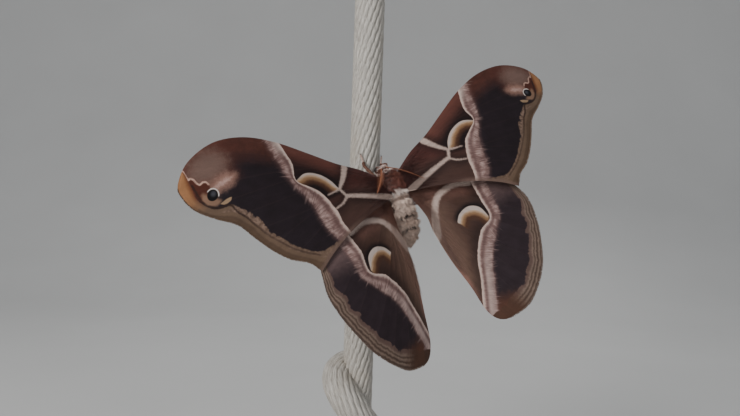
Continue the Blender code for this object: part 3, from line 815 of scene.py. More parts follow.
def forewing_material():
    paint = Paint("forewing_scales")
    flat = paint.stored_vector("flat")
    x, y, _ = paint.split(flat)
    costa = paint.stored("costa")
    bars = paint.stored("bars")
    wobble = paint.noise(flat, 0.8) - 0.5
    fine = paint.noise(flat, 2.6) - 0.5

    # Inside the band: maroon to the front, olive brown behind, dark beside the pale bars.
    colour = paint.mix(tone(62, 45, 40), tone(66, 38, 34), paint.ramp(y, -2.0, 6.0))
    front = paint.mix(tone(36, 24, 23), tone(84, 52, 45), paint.ramp(costa + wobble, 6.5, 0.8))
    colour = paint.mix(colour, front, paint.ramp(x + y * 0.8, 22.5, 24.5) * paint.ramp(y, 1.0, 4.5))
    colour = paint.mix(colour, tone(30, 20, 19), paint.ramp(bars, 3.2, 0.0) * 0.6)
    colour = moon_colour(paint, colour, 0.62)
    bar = paint.mix(tone(142, 122, 112), tone(176, 156, 146), paint.noise(flat, 3.0))
    colour = paint.mix(colour, bar, paint.ramp(bars + fine * 0.8, 0.40, -0.40))

    # Outside the band: near black, maroon along the front edge.
    field = paint.mix(tone(29, 22, 24), tone(37, 30, 34), paint.noise(flat, 0.35))
    maroon = paint.mix(tone(54, 33, 29), tone(80, 49, 41), paint.noise(flat, 0.5, 3.0))
    field = paint.mix(field, maroon, paint.ramp(costa + wobble * 2.0, 9.0, 2.0))
    field = tip_colour(paint, field, x, y, wobble, fine)
    outside = paint.ramp(paint.stored("band"), 0.4, 0.6)
    colour = paint.mix(colour, field, outside)
    colour = band_colour(paint, colour, 2.6)
    colour = forewing_rim(paint, colour, y, wobble, fine)
    hem = paint.ramp(paint.stored("inner") + fine * 0.7, 1.6, 0.2) * paint.ramp(x, 16.0, 26.0)
    colour = paint.mix(colour, tone(98, 79, 71), hem * 0.75)
    return scale_finish(paint, colour)


def tip_colour(paint, ground, x, y, wobble, fine):
    """The tip of the forewing: a grey patch that is partly its own colour and partly painted sheen, a pink
    patch, and a black eye with a white lid.
    """
    # The grey patch is partly the tip's own grey and partly painted sheen, soft and speckled.
    silver_sheen = paint.stored("silver_sheen") + wobble * 1.6
    maroon = paint.ramp(x + wobble * 3.0, 46.0, 54.0) * paint.ramp(y, 15.0, 18.5)
    colour = paint.mix(ground, tone(76, 45, 38), maroon)
    speck = paint.noise(paint.stored_vector("flat"), 5.0, 2.0)
    silver_sheen = paint.ramp(silver_sheen + speck * 3.0 + wobble, 5.6, 0.2)
    colour = paint.mix(colour, tone(104, 84, 76), silver_sheen * 0.85)
    blush = paint.stored("blush") + wobble * 1.4 + speck * 1.4
    colour = paint.mix(colour, tone(136, 104, 92), paint.ramp(blush, 3.0, 0.3) * 0.8)
    colour = paint.mix(colour, tone(168, 138, 128), paint.ramp(blush, 0.9, -0.3) * 0.75)
    colour = paint.mix(colour, tone(70, 38, 29), paint.ramp(paint.stored("eye_field"), 0.25, -0.25))
    line = paint.stored("zigzag") + fine * 0.2
    colour = paint.mix(colour, tone(180, 146, 130), paint.ramp(line, 0.34, 0.06))
    away_x = x - F_EYE[0]
    away_y = y - F_EYE[1]
    distance = paint.math("SQRT", away_x * away_x + away_y * away_y)
    lid_side = away_y * 0.74 - away_x * 0.67
    below = paint.ramp(distance + wobble * 0.8, 3.3, 2.3) * paint.ramp(lid_side, 0.2, -1.0)
    colour = paint.mix(colour, tone(120, 93, 76), below * 0.9)
    lid = paint.bump_at(distance, F_EYE_RADIUS + 0.16, 0.26) * paint.ramp(lid_side, 0.0, 0.6)
    colour = paint.mix(colour, tone(206, 196, 188), lid)
    pupil = paint.ramp(distance, F_EYE_RADIUS + 0.06, F_EYE_RADIUS - 0.1)
    colour = paint.mix(colour, tone(15, 12, 13), pupil)
    glint = paint.math("SQRT", (away_x + 0.3) * (away_x + 0.3) + (away_y - 0.3) * (away_y - 0.3))
    colour = paint.mix(colour, tone(70, 70, 76), paint.ramp(glint, 1.1, 0.1) * 0.7)
    return paint.mix(colour, tone(136, 112, 88), paint.ramp(paint.stored("lens") + fine * 0.1, 0.1, -0.1))


def forewing_rim(paint, ground, y, wobble, fine):
    """The border: olive tan with a thin dark line, toothed inwards, orange towards the tip."""
    rim = paint.stored("rim")
    along = paint.join(paint.stored("rim_along"), 0.0, 0.0)
    toothed = paint.ramp(y, 11.5, 9.0) * (0.35 + 0.65 * paint.ramp(y, -6.0, 3.0))
    teeth = (paint.ramp(paint.noise(along, 0.62, 2.0), 0.34, 0.66) - 0.4) * 0.26 * toothed
    tan = paint.mix(tone(74, 58, 46), tone(90, 73, 60), paint.ramp(rim + wobble * 0.2, 0.15, 0.5))
    tan = paint.mix(tan, tone(62, 48, 39), paint.bump_at(rim + wobble * 0.08, 0.36, 0.14) * 0.45)
    tan = paint.mix(tan, tone(96, 80, 68), paint.ramp(rim, 0.12, 0.0) * 0.6)
    orange = paint.mix(tone(138, 97, 66), tone(96, 58, 38), paint.ramp(rim, 0.55, 1.0))
    tan = paint.mix(tan, orange, paint.ramp(y + wobble * 2.0, 12.0, 18.5))
    cloud = paint.noise(paint.stored_vector("flat"), 1.1, 3.0)
    cream = paint.mix(tone(84, 67, 57), tone(120, 99, 87), paint.ramp(cloud, 0.35, 0.68))
    beyond = paint.ramp(rim + wobble * 0.1, 0.60, 0.72) * paint.ramp(y, 11.0, 10.0)
    tan = paint.mix(tan, cream, beyond * (0.35 + 0.5 * paint.ramp(y, -4.0, 5.0)))
    edge_step = paint.ramp(rim + teeth + fine * 0.22, 1.10, 0.93)
    colour = paint.mix(ground, tan, edge_step)
    line = paint.ramp(paint.stored("rim_line") + fine * 0.35, 0.42, 0.10)
    return paint.mix(colour, tone(44, 31, 26), line * (0.55 + 0.35 * paint.ramp(y, 2.0, 8.0)))


def hindwing_material():
    paint = Paint("hindwing_scales")
    flat = paint.stored_vector("flat")
    x, y, _ = paint.split(flat)
    bars = paint.stored("bars")
    band_mm = paint.stored("band_mm")
    inner = paint.stored("inner")
    wobble = paint.noise(flat, 0.8) - 0.5
    fine = paint.noise(flat, 2.6) - 0.5
    olive = paint.mix(tone(62, 45, 39), tone(92, 71, 61), paint.ramp(inner + wobble * 2.0, 11.0, 2.0))
    blush = paint.ramp(inner + wobble, 1.9, 0.0) * paint.ramp(y, -18.0, -34.0)
    olive = paint.mix(olive, tone(118, 86, 76), blush)
    # Painted light: near the root and the front edge the wing is made lighter, as where light falls on it.
    olive = paint.mix(olive, tone(104, 74, 66), paint.ramp(y + x * 0.2 + wobble * 2.0, -11.0, -4.0))
    colour = paint.mix(olive, tone(36, 26, 24), paint.ramp(band_mm + wobble, -4.5, -0.2) * 0.65)
    shade = paint.ramp(bars, 2.4, 0.0) * paint.ramp(x, 9.0, 13.0)
    colour = paint.mix(colour, tone(46, 34, 30), shade * 0.40)
    colour = moon_colour(paint, colour, paint.ramp(y + (x - 18.0) * 0.15, -21.5, -18.5))
    bar = paint.mix(tone(144, 124, 115), tone(180, 161, 150), paint.noise(flat, 3.0))
    colour = paint.mix(colour, bar, paint.ramp(bars + fine * 1.1, 0.60, -0.50))

    field = paint.mix(tone(37, 29, 31), tone(46, 37, 41), paint.noise(flat, 0.35))
    field = paint.mix(field, tone(96, 78, 76), paint.ramp(y + wobble * 3.0, -23.0, -12.5) * 0.85)
    field = paint.mix(field, tone(74, 49, 39), paint.ramp(y + x * 0.25 + wobble * 3.0, -40.5, -46.0))
    colour = paint.mix(colour, field, paint.ramp(paint.stored("band"), 0.4, 0.6))
    colour = band_colour(paint, colour, 2.2)
    band = paint.stored("band")
    glow = paint.ramp(band + wobble * 0.6, 1.3, 0.5) * paint.ramp(band, 0.3, 0.6)
    glow = glow * paint.ramp(y + wobble * 4.0, -27.0, -42.0)
    colour = paint.mix(colour, tone(172, 152, 144), glow * 0.6)
    colour = hindwing_rim(paint, colour, wobble, fine)
    return scale_finish(paint, colour)


def hindwing_rim(paint, ground, wobble, fine):
    """The border: wavy tan and brown stripes, scalloped inwards, fading out towards the tail end."""
    rim = paint.stored("rim")
    along = paint.stored("rim_along")
    place = paint.join(along, 0.0, 0.0)
    teeth = (paint.ramp(paint.noise(place, 0.45, 2.0), 0.34, 0.66) - 0.5) * 0.26
    warped = rim + wobble * 0.14 + fine * 0.05 + (paint.noise(place, 0.9) - 0.5) * 0.16
    tan = paint.mix(tone(98, 82, 72), tone(116, 99, 88), paint.noise(place, 1.4, 2.0))
    brown = tone(54, 41, 35)
    stripes = paint.mix(tan, brown, paint.bump_at(warped, 0.15, 0.12) * 0.8)
    stripes = paint.mix(stripes, brown, paint.bump_at(warped, 0.38, 0.13) * 0.85)
    stripes = paint.mix(stripes, brown, paint.bump_at(warped, 0.60, 0.10) * 0.75)
    stripes = paint.mix(stripes, tone(84, 67, 61), paint.ramp(warped, 0.66, 0.84))
    stripes = paint.mix(stripes, tone(66, 52, 45), paint.ramp(rim, 0.07, 0.0) * 0.8)
    stripes = paint.mix(stripes, tone(70, 49, 39), paint.ramp(along + wobble * 3.0, 42.0, 49.0))
    step = paint.ramp(rim + teeth + fine * 0.22, 1.10, 0.93)
    return paint.mix(ground, stripes, step)


# ================================================ tufts

# One tuft is three rings of three points and a tip: each ring's place along it and share of its width.
TUFT_RINGS = ((0.0, 0.75), (0.4, 1.0), (0.75, 0.6))
TUFT_STEPS = np.array([0.0, 0.0, 0.0, 0.4, 0.4, 0.4, 0.75, 0.75, 0.75, 1.0])
TUFT_SIDEWAYS = np.array([0.0, 0.5, 1.0, 0.0, 0.5, 1.0, 0.1, 0.5, 0.9, 0.5])
TUFT_PATCH = 0.003             # side of a tuft's own patch of the map


def tuft_faces():
    """Triangles of one tuft: its sides, its tip and its root."""
    faces = []
    for ring in (0, 3):
        for corner in range(3):
            a = ring + corner
            b = ring + (corner + 1) % 3
            faces += [(a, b, b + 3), (a, b + 3, a + 3)]
    return np.array(faces + [(6, 7, 9), (7, 8, 9), (8, 6, 9), (2, 1, 0)])


def tuft_points(roots, normals, lays, lengths, widths, lifts, flat):
    """Points of hairs that leave the skin at their lift and bend down to a quarter of it."""
    lays = unit(lays - normals * np.sum(lays * normals, axis=1, keepdims=True))
    sides = np.cross(normals, lays)
    lifts = np.radians(lifts)[:, None]
    first = lays * np.cos(lifts) + normals * np.sin(lifts)
    last = lays * np.cos(lifts * 0.25) + normals * np.sin(lifts * 0.25)
    reach = lengths[:, None]
    rings = []
    for t, swell in TUFT_RINGS:
        centre = roots + reach * (first * (t - t * t / 2) + last * t * t / 2)
        for turn in (90.0, 210.0, 330.0):
            across = math.cos(math.radians(turn)) * swell * 0.5
            off = math.sin(math.radians(turn)) * swell * 0.5 * flat
            rings.append(centre + sides * widths[:, None] * across + normals * widths[:, None] * off)
    rings.append(roots + reach * (first + last) / 2)
    return np.stack(rings, axis=1).reshape(-1, 3) * MM


def make_tufts(name, roots, normals, lays, lengths, widths, lifts, root_uv, attributes, material,
               flat=0.5):
    """Closed three-sided tapering hairs: one row per hair, positions in mm in the scene's frame."""
    points = tuft_points(roots, normals, lays, lengths, widths, lifts, flat)
    faces = tuft_faces()
    size = len(TUFT_STEPS)
    corner_uv = np.stack([TUFT_SIDEWAYS, TUFT_STEPS], axis=1)[faces] * TUFT_PATCH
    uvs = np.clip(root_uv, 0.0, 1.0 - TUFT_PATCH)[:, None, None, :] + corner_uv[None]
    all_faces = (np.arange(len(roots))[:, None, None] * size + faces[None]).reshape(-1, 3)
    stored = {"tip": np.tile(TUFT_STEPS, len(roots))}
    for key, values in attributes.items():
        stored[key] = np.repeat(values, size, axis=0)
    return make_piece(name, points, all_faces, material, stored, uvs.reshape(-1, 2))


def jitter(rng, vectors, amount):
    return unit(unit(vectors) + rng.normal(0.0, amount, vectors.shape))


# ================================================ the body

# The skin under the coat: (y, z, half width, half height) from the brow to the waist.
BODY_FRONT = [
    (7.30, -1.75, 0.02, 0.02), (7.15, -1.75, 0.70, 0.70), (6.60, -1.72, 1.22, 1.18),
    (5.90, -1.70, 1.50, 1.38), (5.20, -1.65, 1.52, 1.38), (4.60, -1.55, 1.52, 1.42),
    (4.00, -1.40, 1.90, 1.80), (3.30, -1.25, 2.60, 2.35), (2.20, -1.10, 3.30, 2.90),
    (0.80, -1.00, 3.80, 3.25), (-0.80, -1.00, 3.85, 3.25), (-2.20, -1.00, 3.50, 3.00),
]
ABDOMEN_COAT = 0.8
BODY_ROUND = 72
BODY_ROWS = 190
LASH_COUNT = 1100
PALP_COUNT = 700


def abdomen_stations():
    """The abdomen's middle line and radius, as in its solid, less the depth of the coat."""
    steps = ABDOMEN_RINGS * 6
    y, z = ABDOMEN_START[1], ABDOMEN_START[2]
    stations = []
    for step in range(steps + 1):
        along = step / steps
        droop = math.radians(ABDOMEN_DROOP * min(1.0, 0.4 + along))
        end = math.sqrt(max(0.0, 1 - max(0.0, (along - 0.55) / 0.47) ** 2.2))
        front = 0.76 + 0.24 * min(1.0, along / 0.4)
        ring = 1 - 0.035 * math.cos(2 * math.pi * along * ABDOMEN_RINGS)
        radius = max(0.35, ABDOMEN_RADIUS * end * front * ring - ABDOMEN_COAT)
        if step > 1:
            stations.append((y, z, radius, radius))
        y -= math.cos(droop) * (ABDOMEN_LENGTH - ABDOMEN_COAT) / steps
        z -= math.sin(droop) * (ABDOMEN_LENGTH - ABDOMEN_COAT) / steps
    stations.append((y + 0.1, z, 0.02, 0.02))
    return stations


BODY_LINE = smooth_line(BODY_FRONT + abdomen_stations(), 3)
BODY_RUN = run_along(BODY_LINE[:, :2])
BODY_RUN = BODY_RUN / BODY_RUN[-1]


def body_point(run, turn):
    """A point of the skin: run from 0 at the brow to 1 at the tail, turn in radians from the back."""
    y, z, half_width, half_height = (np.interp(run, BODY_RUN, column) for column in BODY_LINE.T)
    return np.stack([half_width * np.sin(turn), y, z + half_height * np.cos(turn)], axis=-1)


def body_frame(run, turn):
    """Skin point, outward normal and the direction towards the tail."""
    step = 0.004
    here = body_point(run, turn)
    tail = unit(body_point(np.minimum(run + step, 1), turn) - body_point(np.maximum(run - step, 0), turn))
    around = unit(body_point(run, turn + step) - body_point(run, turn - step))
    return here, unit(np.cross(tail, around)), tail


def coat_colour(paint, where):
    """Markings and painted shade shared by the skin and the coat, from a place in the moth's frame."""
    x, y, z = paint.split(where)
    wobble = paint.noise(where, 1.3) - 0.5
    spot = paint.noise(where, 0.55, 3.0)
    thorax = paint.mix(tone(86, 50, 42), tone(128, 82, 70), spot)
    colour = paint.mix(thorax, tone(62, 38, 34), paint.ramp(abs(x), 1.0, 3.0) * 0.35)
    cream = paint.mix(tone(190, 165, 149), tone(246, 223, 208), paint.noise(where, 1.0, 3.0))
    colour = paint.mix(colour, cream, paint.ramp(y + wobble * 0.8, -3.0, -3.5))
    under = paint.mix(tone(120, 92, 78), tone(168, 144, 126), spot)
    colour = paint.mix(colour, under, paint.ramp(z - y * 0.3, -2.0, -3.6) * paint.ramp(y, -2.6, -3.6))
    rings = paint.bump_at(paint.math("FRACT", paint.stored("ring")), 0.5, 0.34) * paint.ramp(y, -6.5, -8.0)
    colour = paint.mix(colour, tone(120, 100, 88), rings * 0.5)
    saddle = paint.bump_at(y + wobble * 0.6, -2.5, 1.25) * paint.ramp(z, -1.2, 0.6)
    colour = paint.mix(colour, tone(238, 223, 212), saddle)
    # Painted shade: a dark band in the gap just behind the pale saddle.
    gap_shade = paint.bump_at(y + wobble * 0.8, -4.6, 0.6) * paint.ramp(z, -1.2, 0.6)
    colour = paint.mix(colour, tone(112, 84, 70), gap_shade * 0.7)
    # Painted shade: the abdomen is made darker and browner towards the tail.
    colour = paint.mix(colour, tone(158, 133, 118), paint.ramp(y + wobble * 2.0, -7.0, -11.0) * 0.6)
    # Painted shade: two dark folds across the abdomen, in patches.
    crease_shade = paint.bump_at(y + wobble * 1.2, -11.0, 0.75) + paint.bump_at(y + wobble * 1.2, -14.7, 0.75)
    crease_shade = crease_shade * paint.ramp(x, -3.4, -2.2) * paint.ramp(x, 2.6, 1.4) * paint.ramp(z, -5.0, -3.0)
    patchy = paint.ramp(paint.noise(where, 0.9), 0.34, 0.50)
    colour = paint.mix(colour, tone(44, 30, 21), crease_shade * patchy)
    collar = paint.bump_at(y + wobble * 0.4, 4.5, 0.65)
    colour = paint.mix(colour, tone(232, 214, 204), collar)
    crown = paint.ramp(y + z * 0.2 + wobble * 0.5, 6.0, 6.5) * paint.ramp(z, -2.6, -1.6)
    head = paint.mix(tone(92, 58, 47), tone(222, 200, 190), crown)
    return paint.mix(colour, head, paint.ramp(y, 5.1, 5.3))


def skin_material():
    paint = Paint("moth_skin")
    where = paint.stored_vector("where")
    _, y, _ = paint.split(where)
    colour = paint.brightened(coat_colour(paint, where), 0.55 + paint.ramp(y, -2.8, -3.6) * 0.25)
    grain = paint.noise(where, 5.0, 3.0)
    return paint.finish(colour, 0.75, grain, bump=0.4, depth=0.1, specular=0.2)


def coat_material():
    paint = Paint("moth_coat")
    where = paint.stored_vector("where")
    tip = paint.stored("tip")
    shade = paint.stored("shade")
    _, y, _ = paint.split(where)
    pale = paint.ramp(y, -2.8, -3.6)
    level = 0.62 + pale * 0.16 + (tip * 0.62 + shade * 0.6) * (1.0 - pale * 0.4)
    colour = paint.brightened(coat_colour(paint, where), level)
    return paint.finish(colour, 0.7, specular=0.25, sheen=0.2)


def ring_phase(y):
    """Which ring of the abdomen a place belongs to, counted from the waist."""
    return (ABDOMEN_START[1] - y) / (ABDOMEN_LENGTH * 0.96) * ABDOMEN_RINGS + 0.5


def add_skin(material):
    runs = np.linspace(0, 1, BODY_ROWS)
    turns = np.linspace(0, 2 * math.pi, BODY_ROUND, endpoint=False)
    run, turn = np.meshgrid(runs, turns, indexing="ij")
    where = body_point(run.ravel(), turn.ravel())
    quads = grid_faces(BODY_ROWS, BODY_ROUND, closed=True)[:, ::-1]
    corner_run = np.repeat(runs[:-1], BODY_ROUND)
    corner_turn = np.tile(np.arange(BODY_ROUND), BODY_ROWS - 1) / BODY_ROUND
    next_run = corner_run + 1 / (BODY_ROWS - 1)
    next_turn = corner_turn + 1 / BODY_ROUND
    uvs = np.stack([np.stack([corner_turn, next_run], 1), np.stack([next_turn, next_run], 1),
                    np.stack([next_turn, corner_run], 1), np.stack([corner_turn, corner_run], 1)], axis=1)
    attributes = {"where": where, "ring": ring_phase(where[:, 1])}
    piece = make_piece("body_skin", to_world(where), quads, material, attributes,
                       inset(uvs).reshape(-1, 2))
    fill_holes(piece)
    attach(piece, "root")
    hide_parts("thorax", "head", "abdomen")


def fill_holes(piece):
    """Closes the two tiny rings left at the ends of a loft."""
    shape = bmesh.new()
    shape.from_mesh(piece.data)
    bmesh.ops.holes_fill(shape, edges=shape.edges, sides=BODY_ROUND + 8)
    shape.to_mesh(piece.data)
    shape.free()


def clumps(run, turn, here, cell):
    """For each hair, the way to the tip of the clump it belongs to, and a random number for that clump."""
    rows = np.floor(run * cell[0])
    odd = np.mod(rows, 2)
    turns = np.mod(np.floor(turn / (2 * math.pi) * cell[1] + 0.5 * odd), cell[1])
    mixed = np.sin(rows * 12.9898 + turns * 78.233) * 43758.5453
    chance = mixed - np.floor(mixed)
    middle_run = np.clip((rows + 0.2 + 0.6 * chance) / cell[0], 0, 1)
    middle_turn = (turns + 0.5 - 0.5 * odd + 0.5 * np.sin(chance * 91.7)) / cell[1]
    return body_point(middle_run, middle_turn * 2 * math.pi) - here, chance


def add_coat(name, count, run_range, material, rng, length, width, lift, cell, clump):
    """Hairs over one stretch of the body, evenly by area, lying towards the tail in small clumps."""
    run = rng.uniform(*run_range, count * 4)
    turn = rng.uniform(0, 2 * math.pi, count * 4)
    station = np.interp(run, BODY_RUN, BODY_LINE[:, 2])
    keep = np.flatnonzero(rng.uniform(0, BODY_LINE[:, 2].max(), count * 4) < station)[:count]
    run = run[keep]
    turn = turn[keep]
    here, normals, tails = body_frame(run, turn)
    around = np.cross(tails, normals)
    sway = np.sin(here[:, 0] * 1.9 + here[:, 1] * 2.7) + np.sin(here[:, 1] * 1.1 - here[:, 2] * 3.1)
    sway = sway * 0.2
    to_clump, chance = clumps(run, turn, here, cell)
    lays = jitter(rng, unit(tails + around * sway[:, None]) * length + to_clump * clump, 0.12)
    size = rng.uniform(0.75, 1.15, len(run)) * (0.75 + 0.5 * chance)
    lifts = lift * rng.uniform(0.75, 1.2, len(run)) * (0.55 + 0.9 * chance)
    shade = rng.uniform(-0.3, 0.3, len(run)) + (chance - 0.5) * 0.5
    attributes = {"where": here, "shade": shade, "ring": ring_phase(here[:, 1])}
    uv = inset(np.stack([turn / (2 * math.pi), run], axis=1))
    piece = make_tufts(name, to_world(here) / MM, world_direction(normals), world_direction(lays),
                       length * size, width * (0.5 + 0.5 * size), lifts, uv, attributes, material)
    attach(piece, "root")


def run_at(y):
    """How far along the body a place lies."""
    return float(np.interp(-y, -BODY_LINE[:, 0], BODY_RUN))


def add_body():
    rng = np.random.default_rng(SEED)
    add_skin(skin_material())
    coat = coat_material()
    neck, collar, waist = run_at(5.2), run_at(3.8), run_at(-3.0)
    middle, rump = run_at(-8.0), run_at(-13.0)
    add_coat("coat_head", 6500, (0.01, neck), coat, rng, 1.15, 0.08, 58.0, (70, 14), 0.7)
    add_coat("coat_face", 2000, (0.0, run_at(6.3)), coat, rng, 0.65, 0.07, 34.0, (70, 14), 0.2)
    add_coat("coat_collar", 5000, (neck, collar), coat, rng, 2.5, 0.09, 70.0, (60, 18), 0.8)
    add_coat("coat_thorax", 11000, (collar, waist), coat, rng, 2.5, 0.11, 58.0, (40, 24), 0.9)
    for name, start, end in (("coat_abdomen_front", waist, middle), ("coat_abdomen_middle", middle, rump),
                             ("coat_abdomen_rear", rump, 0.995)):
        add_coat(name, 9300, (start, end), coat, rng, 1.5, 0.10, 46.0, (60, 30), 1.0)
    add_lashes(coat, rng)
    add_palps(coat, rng)


def add_tuft_group(name, roots, normals, lays, lengths, width, lift, marking, rng, material):
    """Hairs of the coat set apart from the body's lie, all in the moth's frame, with the colour of another
    place on the body."""
    count = len(roots)
    attributes = {"where": marking, "shade": rng.uniform(-0.4, 0.2, count), "ring": np.zeros(count)}
    turn = np.arctan2(roots[:, 0], roots[:, 2] - EYE_CENTRE[2])
    run = np.interp(-roots[:, 1], -BODY_LINE[:, 0], BODY_RUN)
    uv = inset(np.stack([np.mod(turn / (2 * math.pi), 1.0), run], axis=1))
    piece = make_tufts(name, to_world(roots) / MM, world_direction(normals), world_direction(lays),
                       lengths, np.full(count, width), np.full(count, lift), uv, attributes, material)
    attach(piece, "root")


def add_lashes(material, rng):
    """Hairs round each eye that half hide it: pale and long behind it, brown and short before it."""
    count = LASH_COUNT
    side = np.where(np.arange(count) % 2, 1.0, -1.0)[:, None]
    turn = rng.uniform(0, 2 * math.pi, count)[:, None]
    radial = np.hstack([np.zeros((count, 1)), -np.cos(turn), np.sin(turn)])
    out = np.hstack([side, np.zeros((count, 2))])
    back = 0.5 + 0.5 * np.cos(turn[:, 0])
    ring = EYE_RADIUS * rng.uniform(0.92, 1.20, (count, 1))
    roots = np.array(EYE_CENTRE) * np.hstack([side, np.ones((count, 2))]) + radial * ring - out * 0.4
    lays = jitter(rng, out - radial * 0.45, 0.22)
    lengths = (0.45 + 0.95 * back) * rng.uniform(0.6, 1.2, count)
    marking = np.stack([np.zeros(count), np.where(back + rng.normal(0, 0.15, count) > 0.55, 4.5, 5.5),
                        np.full(count, -1.0)], axis=1)
    add_tuft_group("coat_lashes", roots, radial, lays, lengths, 0.08, 12.0, marking, rng, material)


def add_palps(material, rng):
    """Two small hairy palps under the face."""
    count = PALP_COUNT
    side = np.where(np.arange(count) % 2, 1.0, -1.0)[:, None]
    along = rng.uniform(0, 1, (count, 1))
    turn = rng.uniform(0, 2 * math.pi, (count, 1))
    heading = unit(np.hstack([side * 0.10, np.full((count, 1), 0.80), np.full((count, 1), -0.25)]))
    radial = np.hstack([np.cos(turn), np.zeros((count, 1)), np.sin(turn)])
    roots = np.hstack([side * 0.42, np.full((count, 1), 6.3), np.full((count, 1), -2.75)])
    roots = roots + heading * along * 0.7 + radial * 0.20 * (1.1 - along)
    marking = np.tile((0.0, 5.6, -2.5), (count, 1))
    lengths = rng.uniform(0.45, 0.75, count)
    lays = jitter(rng, heading + radial * 0.3, 0.12)
    add_tuft_group("coat_palps", roots, radial, lays, lengths, 0.09, 20.0, marking, rng, material)


# ================================================ eyes, antennae and legs

EYE_ROWS = 31
EYE_ROUND = 56
TUBE_GUIDE = (0.3, 0.2, 0.9)   # a direction that no feeler, leg or claw runs along


def eye_material():
    paint = Paint("compound_eye")
    place = paint.node("ShaderNodeTexCoord", {}, "Object")
    facets = paint.cells(place, 9000.0)
    colour = paint.mix(tone(16, 11, 10), tone(36, 24, 20), facets)
    return paint.finish(colour, 0.45, facets, bump=0.3, depth=0.03, specular=0.25)


def add_eyes():
    material = eye_material()
    latitudes = np.linspace(0, math.pi, EYE_ROWS + 2)[1:-1]
    turns = np.linspace(0, 2 * math.pi, EYE_ROUND, endpoint=False)
    latitude, turn = np.meshgrid(latitudes, turns, indexing="ij")
    ball = np.stack([np.sin(latitude) * np.cos(turn), np.sin(latitude) * np.sin(turn), np.cos(latitude)],
                    axis=-1).reshape(-1, 3)
    ball = np.vstack([ball, (0, 0, 1), (0, 0, -1)])
    triangles = tube_faces(EYE_ROWS, EYE_ROUND)[:, ::-1]
    for name, side in SIDES.items():
        centre = np.array(EYE_CENTRE) * (side, 1, 1)
        piece = make_piece("eye_ball_" + name, to_world(ball * EYE_RADIUS + centre), triangles, material)
        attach(piece, "root")
        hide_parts("eye_" + name)


def tube_points(path, radii, around):
    """Rings of points round a path, and the two ends, for a closed tube."""
    path = np.asarray(path, float)
    tangents = unit(np.gradient(path, axis=0))
    first = unit(np.cross(tangents, TUBE_GUIDE))
    second = np.cross(tangents, first)
    turns = np.linspace(0, 2 * math.pi, around, endpoint=False)
    circle = first[:, None] * np.cos(turns)[None, :, None] + second[:, None] * np.sin(turns)[None, :, None]
    rings = path[:, None] + np.asarray(radii)[:, None, None] * circle
    return np.vstack([rings.reshape(-1, 3), path[:1], path[-1:]])


def tube_faces(rings, around):
    """Triangles of a closed tube whose two end points follow its rings."""
    quads = grid_faces(rings, around, closed=True)
    ring = np.arange(around)
    following = (ring + 1) % around
    last = (rings - 1) * around
    start = rings * around
    caps = np.vstack([np.stack([following, ring, np.full_like(ring, start)], 1),
                      np.stack([last + ring, last + following, np.full_like(ring, start + 1)], 1)])
    return np.vstack([quads[:, (0, 1, 2)], quads[:, (0, 2, 3)], caps])


class Bundle:
    """Collects closed tubes into one mesh."""

    def __init__(self):
        self.points = []
        self.faces = []
        self.attributes = {}
        self.count = 0

    def tube(self, path, radii, around=6, **attributes):
        points = tube_points(path, radii, around)
        rings = len(path)
        self.faces.append(tube_faces(rings, around) + self.count)
        self.points.append(points)
        self.count += len(points)
        for key, values in attributes.items():
            per_ring = np.broadcast_to(np.asarray(values, float), (rings,))
            spread = np.concatenate([np.repeat(per_ring, around), per_ring[:1], per_ring[-1:]])
            self.attributes.setdefault(key, []).append(spread)

    def piece(self, name, material):
        attributes = {key: np.concatenate(values) for key, values in self.attributes.items()}
        return make_piece(name, np.vstack(self.points) * MM, np.vstack(self.faces), material, attributes)


ANTENNA_SEGMENTS = 38
SHAFT_RINGS = 40
RAMUS_LEAN = 62.0              # of the side branches from the shaft, in degrees


def antenna_line(name, along):
    root = np.array(ANTENNA_ROOT) * (SIDES[name], 1, 1)
    run = np.array(ANTENNA_POSES[name])
    heading = Vector(run).normalized()
    up = Vector(run).cross(Vector((0.0, 0.0, 1.0))).cross(Vector(run)).normalized()
    along = np.asarray(along, float)
    line = root + along[:, None] * run + np.sin(math.pi * along)[:, None] * np.array(up) * ANTENNA_BOW
    across = Matrix.Rotation(math.radians(ANTENNA_ROLLS[name]), 3, heading) @ up
    return line, np.array(heading.cross(across)), np.array(across)


def antenna_half_width(along):
    return max(0.22, math.sin(math.pi * (0.06 + 0.9 * along) ** 0.72)) * ANTENNA_HALF_WIDTH


def add_antenna(name, material):
    """A shaft with two rows of paired side branches, like a feather."""
    bundle = Bundle()
    along = np.linspace(0, 1, SHAFT_RINGS)
    line, wide, thin = antenna_line(name, along)
    shaft = 0.17 - 0.11 * along
    bundle.tube(to_world(line) / MM, shaft, 8, out=0.0)
    for segment in range(ANTENNA_SEGMENTS):
        along = 0.07 + 0.9 * segment / ANTENNA_SEGMENTS
        (root, ahead), _, _ = antenna_line(name, [along, along + 0.02])
        tangent = unit(ahead - root)
        lean = math.radians(RAMUS_LEAN)
        for side in (-1.0, 1.0):
            for tilt in (-0.16, 0.16):
                direction = wide * side * math.sin(lean) + tangent * math.cos(lean) + thin * tilt
                length = antenna_half_width(along) / math.sin(lean) * (0.97 if tilt > 0 else 0.9)
                steps = np.linspace(0, 1, 6)
                hook = tangent * 0.14 * length
                path = root + steps[:, None] * direction * length + (steps ** 2)[:, None] * hook
                bundle.tube(to_world(path) / MM, 0.052 - 0.034 * steps, 5, out=steps)
    piece = bundle.piece("antenna_comb_" + name, material)
    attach(piece, "root")
    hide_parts("antenna_" + name)


def antenna_material():
    paint = Paint("antenna_comb")
    place = paint.node("ShaderNodeTexCoord", {}, "Object")
    out = paint.stored("out")
    speck = paint.noise(place, 2500.0)
    colour = paint.mix(tone(148, 94, 66), tone(106, 60, 39), paint.ramp(out, 0.0, 0.7))
    colour = paint.brightened(colour, 0.8 + speck * 0.4)
    return paint.finish(colour, 0.55, speck, bump=0.3, depth=0.02)


